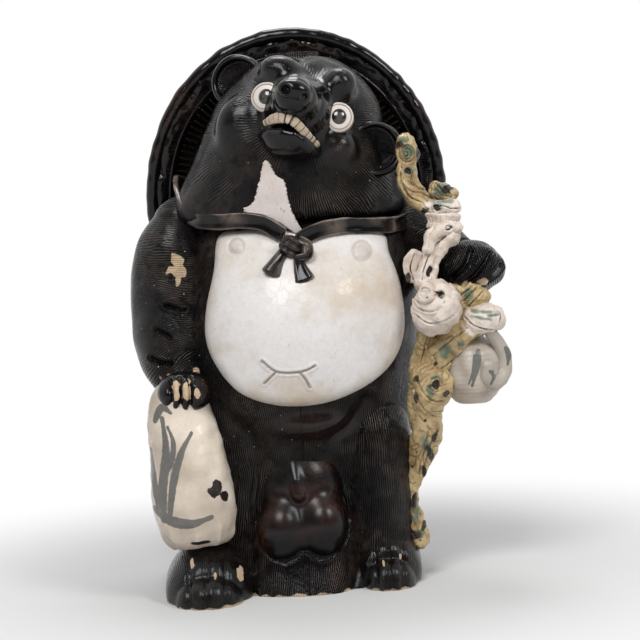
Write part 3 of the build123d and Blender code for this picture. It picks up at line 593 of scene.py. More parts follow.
def rays_from(centre, rows, columns):
    """Rays to every side of one middle, row by row from straight down to straight up."""
    lift, turn = sphere(rows, columns, 0.01)
    rays = looking(lift, turn)
    return np.zeros(rays.shape) + put(centre), rays


def ball(centre, radii, axes, rows=60, columns=90):
    """An ellipsoid as a grid: rows run from one end of its first axis to the other."""
    lift, turn = sphere(rows, columns, 0.02)
    local = looking(lift, turn)[..., [2, 0, 1]]
    first, second = (np.asarray(axis, float) / np.linalg.norm(axis) for axis in axes)
    second = second - first * (first @ second)
    second /= np.linalg.norm(second)
    return put(centre) + local * np.asarray(radii) * MM @ np.array((first, second, np.cross(first, second)))


def limb(path, radius, wide, deep, side, rows, columns, flat=1.0):
    """A tube along a path: oval sections square to it, whose width lies towards side, shrinking to
    a half round at each end. A flat below 1 squares the oval, as cosine and sine to that power.
    Returns the grid, the distance along it and the turn round it."""
    side = np.broadcast_to(np.asarray(side, float), (len(path), 3))
    wide, deep = (np.broadcast_to(k, len(path)) for k in (wide, deep))
    table = eased(np.column_stack((put(path), wide, deep, side)), 400)
    reach = np.concatenate(([0], np.cumsum(np.linalg.norm(np.diff(table[:, :3], axis=0), axis=1))))
    length = reach[-1]
    first, last = (min(table[end, 3], table[end, 4]) * radius * MM for end in (0, -1))
    s = (0.5 - 0.5 * np.cos(np.linspace(0.0, pi, rows))) * (length + first + last) - first
    inside = np.clip(s, 0, length)
    steps = np.linspace(0, length, 200)

    def read(at, *which):
        return np.stack([np.interp(at, reach, table[:, k]) for k in which], -1)

    way = np.gradient(read(steps, 0, 1, 2), axis=0)
    way = np.stack([np.interp(inside, steps, way[:, k]) for k in range(3)], -1)
    way /= np.linalg.norm(way, axis=1, keepdims=True)
    before = np.clip(-s / first, 0, 0.9995)
    behind = np.clip((s - length) / last, 0, 0.9995)
    shrink = (np.sqrt(1 - before**2) * np.sqrt(1 - behind**2))[:, None] * radius * MM
    side = read(inside, 5, 6, 7)
    across = side - way * (way * side).sum(1, keepdims=True)
    across /= np.linalg.norm(across, axis=1, keepdims=True)
    turn = full_turn(columns)
    x, y = (np.sign(wave) * np.abs(wave) ** flat for wave in (np.cos(turn), np.sin(turn)))
    line = read(inside, 0, 1, 2) + way * (s - inside)[:, None]
    grid = (line[:, None] + across[:, None] * (x * read(inside, 3) * shrink)[..., None]
            + np.cross(way, across)[:, None] * (y * read(inside, 4) * shrink)[..., None])
    return grid, np.broadcast_to(s[:, None], grid.shape[:2]), np.broadcast_to(turn, grid.shape[:2])


def jaw_body(places):
    """A flattened tongue of clay, with the lower lip laid along its front edge."""
    squashed = put(JAW[1]) + (places - put(JAW[1])) @ FACE.T * (1, 1, 1.75) @ FACE
    tongue = from_limb(squashed, JAW, (24, 22.5, 19))
    return merged(tongue * 0.7, from_limb(places, LOWER_LIP, (2.5, 3.8, 4.6, 4.8, 4.8, 4.2, 2.8)), 0.005)


starts, rays = rays_from((-0.16, 0.54, 3.47), 110, 160)
grid = cast(starts, rays, jaw_body, 0.05, 60)
clay("jaw_lip", rough_clay(grid, 0.0005, 0.02, 4), "lower_jaw", SMOOTH_BLACK,
     bare(grid, 0.25 * unit((put((0, 0, 3.47))[2] - grid[..., 2]) / 0.01)))

grid = ball((-0.105, 0.92, 3.84), (13, 8.0, 8.4), (EYE_LINE, INWARD))
for hole in ((-0.167, 0.99, 3.845), (-0.02, 0.99, 3.775)):
    grid[..., 1] += 0.0045 * bell(np.linalg.norm(grid - put(hole), axis=-1), 0.0034, 4)
clay("nose_pad", grid, "nose", SMOOTH_BLACK, bare(grid))

grid, s, _ = limb(LIP, 4, (0.45, 0.5, 0.55, 0.55, 0.5, 0.45, 0.4), (0.6, 0.95, 1.05, 1.0, 0.9, 0.85, 0.6),
                  INWARD, 300, 40, flat=0.55)
gap = np.abs((s * 1000 / TOOTH + 0.15 * np.sin(s * 900)) % 1 - 0.5) * TOOTH
narrow = 1 - 0.28 * bell(gap, 0.5) - 0.1 * (gap / TOOTH * 2 - 1) ** 2
middle = grid.mean(1, keepdims=True)
mix = Recipe("tooth_clay")
grain, from_cut = mix.noise(420.0, 4.0), mix.mark("comb")[0]
colour = mix.tint(grain.ramp(0.3, 0.7), (0.46, 0.36, 0.26), (0.60, 0.49, 0.37))
colour = mix.tint(from_cut.ramp(0.75, 0.25), colour, (0.035, 0.025, 0.02))
clay("teeth_band", middle + (grid - middle) * narrow[..., None], "upper_teeth",
     mix.finish(grain, 0.0003, Base_Color=colour, Roughness=0.55), combed(gap, s * 1000, 0.0))

# The eyes and ears
# Each eye is a button of white slip with rings cut round it, and a glazed dome for a pupil. Each ear is
# a round dish of clay, its edge rolled and wiped smooth, its hollow combed.
EYE_PROFILE = ((0.0, 4.2), (0.3, 4.2), (0.55, 4.0), (0.74, 3.6), (0.78, 2.9), (0.82, 3.4), (0.90, 2.8),
               (0.96, 1.6), (1.0, -0.6), (0.98, -4.0), (0.5, -6.0), (0.0, -6.0))
PUPIL_PROFILE = ((0.0, 2.3), (0.3, 2.2), (0.6, 1.8), (0.85, 1.1), (1.0, 0.0), (0.9, -1.5), (0.0, -2.0))
EAR_PROFILE = ((0.0, -1.2), (0.3, -1.0), (0.55, -0.2), (0.72, 2.4), (0.80, 5.6), (0.88, 6.6), (0.96, 5.0),
               (1.0, 1.0), (0.98, -3.0), (0.90, -6.0), (0.6, -6.6), (0.0, -6.6))
EYES = {  # the middle, the way it looks, and the two radii in millimetres
    "right": ((-0.32, 0.515, 3.83), (-0.26, -0.94, 0.20), 13.2, 12.6),
    "left": ((0.226, 0.535, 3.645), (0.10, -0.98, 0.18), 12.0, 12.6),
}
EARS = {
    "right": ((-0.55, 0.06, 4.00), (-0.25, -0.96, 0.10)),
    "left": ((0.50, 0.32, 3.40), (0.22, -0.96, 0.10)),
}
EYE_WHITE = white_glaze("eye_glaze", stain=0.35, crazed=0.5, dirt=0.2, white=(0.70, 0.64, 0.60))
BLACK = dark_glaze("combed_glaze")
mix = Recipe("pupil_glaze")
colour = mix.tint(mix.mark("ring")[2].ramp(0.32, 0.6), (0.070, 0.066, 0.058), (0.006, 0.005, 0.005))
colour = mix.tint(mix.noise(500.0).ramp(0.5, 0.8) * 0.5, colour, (0.19, 0.17, 0.14))
PUPIL = mix.finish(Base_Color=colour, Roughness=0.12, Coat_Weight=0.6, Coat_Roughness=0.03)


def turned(middle, axis, profile, rows, columns, wide=1.0, high=1.0, level=LEVEL):
    """A form turned round its axis: the profile's radii, stretched wide and high, at its heights in
    millimetres. Returns the grid, the turn round it, the share of the radius and the height in metres."""
    out, level = np.asarray(axis, float) / np.linalg.norm(axis), np.asarray(level)
    over = level - out * (out @ level)
    over /= np.linalg.norm(over)
    share, height = eased(profile, rows).T[..., None]
    share = np.maximum(share, 0.004)
    turn = full_turn(columns)
    grid = (put(middle) + over * (np.cos(turn) * share * wide * MM)[..., None]
            + np.cross(out, over) * (np.sin(turn) * share * high * MM)[..., None]
            + out * (height * MM)[..., None])
    return grid, *(np.broadcast_to(k, grid.shape[:2]) for k in (turn, share, height * MM))


for side, (place, gaze, wide, high) in EYES.items():
    grid, turn, share, _ = turned(place, gaze, EYE_PROFILE, 60, 120, wide, high, EYE_LINE)
    line = bell(share - 0.79, 0.035) * 0.75 + unit((share - 0.935) / 0.03) * 0.9
    clay(f"eye_{side}_disc", grid, f"eye_{side}", EYE_WHITE, worn(0.0, line))
    centre = np.array(place) + np.array(gaze) * (1, -1, 1) * 0.036
    grid, turn, share, _ = turned(centre, gaze, PUPIL_PROFILE, 40, 80, 5.9, 6.4, EYE_LINE)
    clay(f"pupil_{side}_dome", grid, f"pupil_{side}", PUPIL, {"ring": marked(0.0, 0.0, share)})
for side, (place, gaze) in EARS.items():
    grid, turn, share, _ = turned(place, gaze, EAR_PROFILE, 70, 150, 22.5, 22.5, EYE_LINE)
    clay(f"ear_{side}_dish", rough_clay(grid, 0.0006, 0.03, 7), f"ear_{side}", BLACK,
         combed(turn * 16.0, share * 24.0, unit((0.74 - share) / 0.06)))

# The arms, legs, feet and tail
# The limbs are rolls of clay luted to the trunk, combed with it. The right arm hangs to the flask and
# has three gouges in it, the left comes forward behind the branch.
ARM_RIGHT = ((-1.06, -0.04, 2.88), (-1.13, 0.00, 2.66), (-1.16, 0.05, 2.38), (-1.16, 0.15, 2.10),
             (-1.14, 0.30, 1.88), (-1.11, 0.42, 1.74), (-1.07, 0.50, 1.68))
ARM_LEFT = ((0.76, -0.04, 2.84), (0.86, 0.00, 2.68), (1.00, 0.06, 2.52), (1.14, 0.18, 2.44),
            (1.26, 0.30, 2.44))
GOUGES = (((-1.20, 2.26), (-1.12, 2.23), (-1.06, 2.22)), ((-1.28, 2.07), (-1.21, 2.04), (-1.17, 2.01)),
          ((-1.33, 1.86), (-1.25, 1.82), (-1.17, 1.81)))
ARM_CHIPS = ((-1.10, 2.60, 4.5, 7.0, 0.25), (-1.10, 2.53, 5.5, 6.0), (-1.16, 2.54, 2.5, 3.0, 0.6),
             (-1.10, 2.45, 2.5, 4.5, 0.1))
LEGS = {
    "right": ((-0.84, 0.30, 1.30), (-0.88, 0.38, 1.00), (-0.92, 0.40, 0.66), (-0.94, 0.40, 0.26)),
    "left": ((0.36, 0.20, 1.40), (0.41, 0.36, 1.12), (0.40, 0.42, 0.80), (0.41, 0.46, 0.30)),
}
FEET = {
    "right": (((-0.97, 0.30, 0.06), (-0.97, 0.62, 0.06), (-0.96, 0.86, 0.05), (-0.95, 1.00, 0.02)), 34),
    "left": (((0.44, 0.24, 0.08), (0.44, 0.40, 0.10), (0.44, 0.58, 0.08), (0.44, 0.70, 0.04)), 26.5),
}
TOE_CHIPS = ((-1.070, 0.311, 1.7, 2.8), (-0.891, 0.225, 1.3, 2.4), (-0.710, 0.200, 2.4, 5.0, 0.1),
             (0.392, 0.200, 0.9, 2.2, 0.1), (0.526, 0.232, 1.0, 2.4, 0.1))
TAIL = ((-0.16, -0.62, 0.52), (-0.16, -0.82, 0.36), (-0.16, -0.90, 0.16), (-0.16, -0.92, -0.04))


def patch(grid, ovals, soft):
    """How far each place that faces the viewer lies within any oval: across, up, two radii in millimetres,
    and how far it leans if it does. A wobble makes the ovals ragged."""
    share = np.zeros(grid.shape[:2])
    facing = unit(-outward(grid)[..., 1] * 3)
    for across, up, wide, high, *lean in ovals:
        lean = lean[0] if lean else 0.0
        away = grid[..., [0, 2]] - drawn([(across, up)])[0]
        away = away @ np.array(((cos(lean), -sin(lean)), (sin(lean), cos(lean))))
        reach = np.linalg.norm(away / (wide * MM, high * MM), axis=-1)
        reach = reach * (1 + 0.3 * wobble(grid, 0.008, 5))
        share = np.maximum(share, unit((1 + soft - reach) / (2 * soft)) * facing)
    return share


def combed_across(s, turn, radius):
    """The comb's mark for strokes that go round a limb: its teeth are spread along it."""
    return combed(s * 1000 + 3 * np.sin(turn * 2), turn * radius)


def combed_along(s, turn, radius, bite=1.0):
    """The comb's mark for strokes that run down a limb: its teeth are spread round it."""
    return combed(turn * radius, s * 1000, bite)


grid, s, turn = limb(ARM_RIGHT, 35.5, (0.72, 0.94, 1, 0.98, 0.92, 0.76, 0.56),
                     (0.72, 0.9, 0.95, 0.95, 0.9, 0.74, 0.54), LEVEL, 220, 210)
grid, cut = scored(rough_clay(grid, 0.0007, 0.04, 11), GOUGES, 0.0016, 0.0030, 0.0012, curved=False)
chip = patch(grid, ARM_CHIPS, 0.35)
grid = pushed(grid, -0.0012 * chip)
scuff = patch(grid, ((-1.09, 1.72, 12.0, 3.0, 0.1), (-0.98, 1.74, 3.5, 4.0)), 0.5)
clay("arm_right", grid, "right_arm", BLACK,
     combed_across(s, turn, 36) | worn(np.maximum(chip, scuff * 0.7), cut))
grid, s, turn = limb(ARM_LEFT, 36, (0.6, 0.7, 0.7, 0.64, 0.56), (0.72, 0.8, 0.75, 0.64, 0.54), INWARD, 110, 150)
clay("arm_left", rough_clay(grid, 0.0008, 0.04, 12), "left_arm", BLACK, combed_across(s, turn, 28))
for side, path in LEGS.items():
    grid, s, turn = limb(path, 26, (1, 1, 0.96, 0.92), (1.1, 1.1, 1.05, 1), LEVEL, 150, 150)
    clay(f"leg_{side}", rough_clay(grid, 0.0008, 0.04, 13), f"{side}_leg", BLACK, combed_along(s, turn, 27))
for side, (path, size) in FEET.items():
    grid, s, turn = limb(path, size, (0.8, 1, 0.96, 0.76), [k * 40 / size for k in (0.9, 0.94, 0.78, 0.5)],
                         LEVEL, 110, 150)
    tip = put(path[-1])
    for share in (-0.42, -0.02, 0.40):  # the clefts between the toes
        aside = grid[..., 0] - tip[0] - share * size * MM
        grid = pushed(grid, -0.002 * bell(aside, 0.0022) * unit((tip[1] + 0.014 - grid[..., 1]) / 0.012))
    grid = on_ground(rough_clay(grid, 0.0006, 0.03, 15))
    clay(f"foot_{side}", grid, f"{side}_foot", BLACK,
         combed_along(s, turn, size, 0.35) | worn(np.maximum(patch(grid, TOE_CHIPS, 0.4), hem(grid, 5))))
grid, s, turn = limb(TAIL, 17, (0.8, 1.1, 1.1, 0.9), (0.8, 0.9, 0.9, 0.8), LEVEL, 90, 120)
clay("tail_stub", on_ground(grid), "tail", BLACK, combed_along(s, turn, 17))


# The pouch
# A smooth drop that parts into two lobes, with a short ridge down its middle. It was burnished and only
# dipped, so the glaze is thin and brown over it.
def pouch_body(places):
    """A broad upper drop, two lobes under it, and the ridge, merged with narrow creases."""
    drop = from_ball(places, (-0.22, 0.49, 0.76), (34, 26, 36))
    for across, forward, up in ((-0.375, 0.65, 0.47), (-0.065, 0.64, 0.49)):
        drop = merged(drop, from_ball(places, (across, forward, up), (20.5, 22, 25.5)), 0.008)
    ridge = from_limb(places, ((-0.27, 0.66, 0.98), (-0.25, 0.735, 0.86), (-0.235, 0.765, 0.76)),
                      (2.5, 4.0, 4.4))
    return merged(drop, ridge, 0.006)


starts, rays = rays_from((-0.22, 0.56, 0.66), 130, 200)
grid = cast(starts, rays, pouch_body, 0.07)
bulge = bell(unit(from_ball(grid, (-0.22, 0.76, 0.62), (26, 16, 20))), 0.004, 1)
POUCH = dark_glaze("pouch_glaze", comb_depth=0.0004, thin=1.2, seed=9.0, thinned=(0.040, 0.015, 0.011),
                   sheen=(0.18, 0.34), wet=0.34)
clay("pouch_lobes", grid, "pouch", POUCH,
     bare(grid) | worn(0.0, 0.0, bulge * (0.3 + 0.3 * wobble(grid, 0.03, 8))))

# The flask and the hands
# The flask is thrown as a pear, its foot trimmed to facets with a knife, and glazed white over the dark
# clay. A clump of reeds is brushed on it in iron. One hand lies over its neck, the other by the branch.
FLASK_FOOT, FLASK_TOP = (-1.01, 0.70, 0.40), (-1.15, 0.66, 1.70)
FLASK = ((0.4, 0), (10, 0), (19, 0.1), (22.5, 0.8), (28, 6.4), (31, 16), (32, 28), (31.6, 42), (30.4, 59),
         (28.6, 76), (26.8, 90), (25, 102), (23.4, 110), (20.4, 119), (16.6, 124.5), (13.4, 127.6),
         (9, 128), (0.4, 128))
REEDS = (
    (((-1.27, 0.64), (-1.26, 0.90), (-1.22, 1.18), (-1.24, 1.42)), 3.8),
    (((-1.22, 0.66), (-1.17, 0.95), (-1.10, 1.16), (-1.02, 1.30)), 3.0),
    (((-1.30, 0.70), (-1.33, 0.94), (-1.35, 1.18)), 2.8),
    (((-1.25, 0.98), (-1.18, 1.10), (-1.16, 1.24), (-1.20, 1.36)), 2.2),
    (((-1.34, 0.72), (-1.20, 0.64), (-1.05, 0.62), (-0.90, 0.66)), 4.2),
    (((-1.30, 1.40), (-1.24, 1.50), (-1.17, 1.46)), 3.0),
)
FLASK_CHIPS = ((-0.86, 0.86, 5.0, 6.5, -0.5), (-0.80, 0.80, 3.0, 4.0), (-1.00, 0.46, 9.0, 1.6))
RIGHT_FINGERS = [((x, 1.71), (x + 0.01, 1.60), (x - 0.01, 1.45)) for x in (-1.17, -1.09, -1.01)]
LEFT_FINGERS = [((1.20, 2.28), (1.305, 2.335), (1.391, 2.385), (1.44, 2.44)),
                ((1.14, 2.30), (1.229, 2.374), (1.312, 2.471), (1.36, 2.54)),
                ((1.05, 2.36), (1.14, 2.44), (1.20, 2.56))]


def brushed(grid, strokes):
    """How much ink each place that faces the viewer has: strokes are drawn lines of a given half width in
    millimetres at their middle, thinner where the brush lands and lifts."""
    ink = 0.0
    for line, half in strokes:
        steps = steps_along(grid[..., [0, 2]], drawn(curve(line, 30)))
        for share, (_, reach) in zip(np.linspace(0, 1, 29), steps):
            press = half * MM * (0.45 + 0.55 * sin(pi * min(share + 0.12, 1.0)))
            ink = np.maximum(ink, unit(1.5 - reach / press))
    return ink * unit(-outward(grid)[..., 1] * 4 + 0.6)


grid, turn, _, height = turned(FLASK_FOOT, put(FLASK_TOP) - put(FLASK_FOOT), FLASK, 140, 230)
grid = rough_clay(rough_clay(grid, 0.0009, 0.05, 21), 0.0005, 0.016, 25)
facet = cos(pi / 9) / np.cos((turn + 0.2) % (2 * pi / 9) - pi / 9)
middle = grid.mean(1, keepdims=True)
grid = middle + (grid - middle) * (1 - unit((0.022 - height) / 0.014) * (1 - facet) * 1.6)[..., None]
# The flask is made darker at its neck, under the paw, and at its foot, on top of its random stains.
darker_at_ends = unit((height - 0.100) / 0.03) * 0.5 + unit((0.004 - height) / 0.004) * 0.5
darkened = unit(0.36 * unit(wobble(grid, 0.045, 24) + 0.1) + darker_at_ends * 0.6)
clay("flask_body", grid, "flask", white_glaze("flask_glaze", white=(0.80, 0.70, 0.59)),
     worn(patch(grid, FLASK_CHIPS, 0.4), darkened, brushed(grid, REEDS)))

grid = rough_clay(ball((-1.07, 0.74, 1.59), (21.3, 20.9, 17.1), (LEVEL, INWARD), 120, 170), 0.0007, 0.02, 22)
grid, cut = scored(grid, RIGHT_FINGERS, 0.0017, 0.0036)
scuff = patch(grid, ((-1.12, 1.64, 3.2, 7.0, 0.1), (-1.04, 1.62, 3.6, 8.5, -0.1), (-0.96, 1.60, 2.2, 5.0)), 0.4)
clay("paw_right", grid, "right_paw", SMOOTH_BLACK, bare(grid, 0.2) | worn(scuff * 0.8, cut))
grid = rough_clay(ball((1.215, 0.38, 2.44), (26.2, 19, 20.5), (EYE_LINE, INWARD), 150, 190), 0.0009, 0.018, 23)
grid, cut = scored(grid, LEFT_FINGERS, 0.0019, 0.0026, 0.0012)
scuff = patch(grid, ((1.283, 2.319, 4.6, 2.6, 0.2), (1.24, 2.30, 2.4, 1.6)), 0.4)
clay("paw_left", grid, "left_paw", BLACK,
     combed(grid[..., 0] * 1000 + grid[..., 2] * 300, grid[..., 2] * 1000, 1 - cut) | worn(scuff))

# The straw hat
# A shallow cone of straw modelled in clay: a padded brim with soft bumps, a rolled edge, a thin hoop
# and short ribs inside it. It leans on the back and frames the head.
HAT_MIDDLE, HAT_LEAN = (-0.145, -0.52, 3.08), radians(5)
HAT_WIDE, HAT_HIGH = 120.5, 133.5  # its outline's radii in millimetres
HAT = ((0.004, 61.5), (0.04, 61.5), (0.14, 59.5), (0.34, 50), (0.55, 37.2), (0.76, 24), (0.95, 10.5),
       (1.0, 6.5), (1.005, 3), (1.0, -1.5), (0.965, -3.6), (0.92, -3.4), (0.885, -1.2), (0.862, 0.5),
       (0.852, 4), (0.845, 9.2), (0.80, 12.2), (0.55, 29.2), (0.30, 43), (0.14, 51.5), (0.04, 54),
       (0.004, 54))  # shares of its outline, and millimetres behind its edge
RIBS = 84


def on_hat(turn, share, behind):
    """A place on the hat: turn round its middle, share of its outline, millimetres behind its edge."""
    turn, share, behind = np.broadcast_arrays(turn, share, behind)
    across = -np.cos(turn) * share * HAT_WIDE
    rise = np.sin(turn) * share * HAT_HIGH
    back = behind * cos(HAT_LEAN) - rise * sin(HAT_LEAN)
    up = behind * sin(HAT_LEAN) + rise * cos(HAT_LEAN)
    return put(HAT_MIDDLE) + np.stack((across, back, up), -1) * MM


rows = 220  # the first half of them lies outside, the other half inside
share, behind = eased(HAT, rows).T[..., None]
turn = full_turn(450)
grid = on_hat(turn, share, behind)
brim = bell(share - 0.95, 0.05) * (behind < 2)
bumps = wobble(grid, 0.018, 32) + 0.6 * wobble(grid, 0.009, 33)
outside = unit((behind - 7) / 3) * (np.arange(rows)[:, None] < rows / 2) * unit(share / 0.3)
plait = np.sin(66 * turn + pi * np.floor(share * 22)) * np.abs(np.sin(pi * share * 22))
grid = pushed(grid, 0.0012 * brim * bumps + 0.0006 * outside * (plait - 0.4))
bite = 0.8 * (1 - brim) * (np.minimum(turn, 2 * pi - turn) > 0.02)  # no scratches where the turn starts again
clay("hat_cone", rough_clay(grid, 0.0006, 0.02, 31), "hat", BLACK, combed(turn * 115.0, share * 130, bite))


def hat_bead(name, node, share, radius, swell, length, seed):
    """A round bead that runs round the hat, its radius swelling and shrinking by a wobble."""
    turn, around = full_turn(720)[:, None], full_turn(22)
    thick = radius * (1 + swell * wobble(on_hat(turn, 1.0, 0.0), length, seed))
    middle_radius = (HAT_WIDE + HAT_HIGH) / 2
    grid = on_hat(turn, share + np.cos(around) * thick / middle_radius, np.sin(around) * thick)
    grid = np.concatenate((grid, grid[:1]))
    clay(name, grid, node, SMOOTH_BLACK, bare(grid), closed=False)


hat_bead("hat_rolled_edge", "hat_rim", 1.0, 6.0, 0.10, 0.016, 34)
hat_bead("hat_thin_hoop", "hat_hoop", 0.88, 1.8, 0.12, 0.01, 35)
bars = []
lift, around = np.linspace(0, 1, 12)[:, None], full_turn(14)
for rib in range(RIBS):
    turn = radians(-30 + 240 * rib / (RIBS - 1))
    start, end = on_hat(turn, 0.862, 7.0), on_hat(turn, 0.765, 15.2)
    along = (end - start) / np.linalg.norm(end - start)
    beside = np.cross(along, (0, cos(HAT_LEAN), sin(HAT_LEAN)))
    thick = np.sqrt(np.clip(1 - (2 * lift - 1) ** 6, 0.02, 1)) * (1 + 0.12 * sin(rib * 2.3))
    bars.append(start + ((end - start) * lift)[:, None] + beside * (np.cos(around) * thick * 0.0012)[..., None]
                + np.cross(beside, along) * (np.sin(around) * thick * 0.0026)[..., None])
grid = np.concatenate(bars)
# The ribs carry a light brown tint as painted highlight, to show them against the dark hollow.
clay("hat_rib_row", grid, "hat_ribs", SMOOTH_BLACK, bare(grid) | worn(0.0, 0.0, 0.15), many=RIBS)

# The hat's string and its bow
# A flat band of clay comes round both sides of the neck and is tied at the throat.
STRINGS = {
    "right": ((-1.06, -0.58, 3.20), (-1.12, -0.30, 3.24), (-1.11, -0.04, 3.16), (-1.06, 0.18, 3.03),
              (-0.94, 0.34, 2.92), (-0.76, 0.47, 2.89), (-0.58, 0.55, 2.89), (-0.40, 0.61, 2.86),
              (-0.26, 0.67, 2.77)),
    "left": ((0.84, -0.58, 2.98), (0.78, -0.26, 2.92), (0.74, 0.06, 2.84), (0.62, 0.36, 2.80),
             (0.42, 0.50, 2.80), (0.20, 0.60, 2.81), (0.02, 0.66, 2.78), (-0.12, 0.70, 2.72)),
}
BOW = {
    "bow_loop": (((-0.12, 0.76, 2.72), (-0.06, 0.79, 2.68), (-0.06, 0.81, 2.60), (-0.14, 0.80, 2.58)), 0.5),
    "bow_tail_right": (((-0.24, 0.73, 2.65), (-0.30, 0.79, 2.57), (-0.35, 0.84, 2.48)), (0.6, 0.8, 1.25)),
    "bow_tail_left": (((-0.14, 0.75, 2.62), (-0.13, 0.82, 2.52), (-0.10, 0.88, 2.42)), (0.6, 0.8, 1.25)),
}
KNOT_FOLDS = [((-0.29, 2.70), (-0.20, 2.64), (-0.12, 2.60)), ((-0.24, 2.75), (-0.16, 2.69), (-0.09, 2.65))]
STRING = dark_glaze("string_glaze", comb_depth=0.0004, thin=1.2, seed=12.0, thinned=(0.22, 0.175, 0.145))


def banded(grid, turn, seed):
    """The mark for a band whose glaze has run thin along both raised edges and in patches."""
    edge = unit((np.abs(np.sin(turn)) - 0.62) / 0.25) * 0.7
    return worn(0.0, 0.0, unit(edge + 0.5 * wobble(grid, 0.03, seed)))


for side, path in STRINGS.items():
    away = np.array([(across + 0.15, -forward, 0.0) for across, forward, _ in path])
    grid, s, turn = limb(path, 6.3, 0.42, 1, away, 260, 60, flat=0.6)
    grid = pushed(grid, -0.0011 * unit(np.cos(turn)) * bell(np.sin(turn), 0.55))
    clay(f"string_{side}", rough_clay(grid, 0.0003, 0.02, 41), f"hat_string_{side}", STRING,
         bare(grid) | banded(grid, turn, 42))
for name, (path, wide) in BOW.items():
    grid, s, turn = limb(path, 6.3, 0.42, wide, INWARD, 90, 40, flat=0.6)
    crease = 0.5 + 0.5 * np.cos(6 * np.arcsin(np.clip(np.sin(turn), -1, 1)))
    grid = pushed(grid, -0.0007 * crease)
    clay(f"{name}_band", grid, name, STRING, bare(grid) | banded(grid, turn, 43))
grid = ball((-0.19, 0.74, 2.67), (10.0, 7.5, 8.7), ((0.8, 0, -0.6), INWARD), 90, 110)
grid, cut = scored(grid, KNOT_FOLDS, 0.0012, 0.0018, 0.0006)
clay("bow_knot_lump", grid, "bow_knot", STRING, bare(grid) | worn(0.0, cut, 0.1))

# The branch
# A gnarled branch built from lumps and coils of clay pressed together, glazed in straw yellow with
# copper green run into its hollows. The upper lumps are dipped in cream slip.
BRANCH = {  # each lump's path and, along it, its radii in shares of 12 mm
    "foot": (((0.685, 0.45, 0.32), (0.635, 0.45, 0.49), (0.65, 0.45, 0.68), (0.70, 0.46, 0.86),
              (0.755, 0.47, 1.02), (0.79, 0.48, 1.15), (0.785, 0.49, 1.28), (0.775, 0.50, 1.40)),
             (0.82, 0.76, 0.50, 0.70, 0.92, 1.02, 1.06, 1.06)),
    "knot": (((0.80, 0.52, 1.42), (0.84, 0.53, 1.52), (0.82, 0.52, 1.60)), (1.30, 1.45, 1.20)),
    "limb": (((0.86, 0.50, 1.66), (0.95, 0.52, 1.80), (1.08, 0.52, 1.94), (1.22, 0.50, 2.01)),
             (0.92, 1.0, 1.0, 0.98)),
    "end": (((1.20, 0.56, 2.02), (1.28, 0.56, 2.03), (1.35, 0.54, 2.03)), (0.85, 0.98, 0.85)),
    "wrap": (((1.13, 0.42, 2.28), (1.20, 0.46, 2.19), (1.22, 0.48, 2.12)), (1.22, 1.25, 0.95)),
    "stem": (((0.74, 0.47, 1.64), (0.79, 0.48, 1.80), (0.84, 0.50, 1.96)), (0.55, 0.60, 0.70)),
    "burl": (((0.88, 0.64, 2.09), (0.91, 0.66, 2.15), (0.92, 0.65, 2.20)), (1.45, 1.60, 1.40)),
    "neck": (((0.83, 0.58, 2.34), (0.87, 0.58, 2.48), (0.95, 0.56, 2.61), (1.03, 0.53, 2.69)),
             (0.75, 0.62, 0.62, 0.80)),
    "leaf": (((0.79, 0.56, 2.56), (0.74, 0.54, 2.47), (0.745, 0.54, 2.36)), (0.50, 0.58, 0.45)),
    "twist": (((1.10, 0.56, 2.75), (1.00, 0.61, 2.75), (0.90, 0.63, 2.70), (0.86, 0.64, 2.60)),
              (0.42, 0.44, 0.44, 0.36)),
    "crook": (((0.98, 0.46, 2.87), (0.90, 0.41, 2.93), (0.81, 0.37, 3.01), (0.75, 0.35, 3.12),
               (0.75, 0.34, 3.23), (0.76, 0.34, 3.34), (0.745, 0.34, 3.44)),
              (0.62, 0.62, 0.72, 0.68, 0.66, 0.72, 0.62)),
    "stub": (((0.95, 0.46, 3.07), (1.02, 0.49, 3.04), (1.07, 0.50, 3.01)), (0.45, 0.50, 0.46)),
    "bead": (((0.96, 0.54, 2.91), (1.03, 0.55, 2.91), (1.08, 0.54, 2.91)), (0.48, 0.52, 0.48)),
}
DEEP = {"leaf": 0.35, "wrap": 0.6}  # how deep a flat lump is for its width
PALE = ("neck", "burl", "twist", "bead", "collar", "end", "leaf")
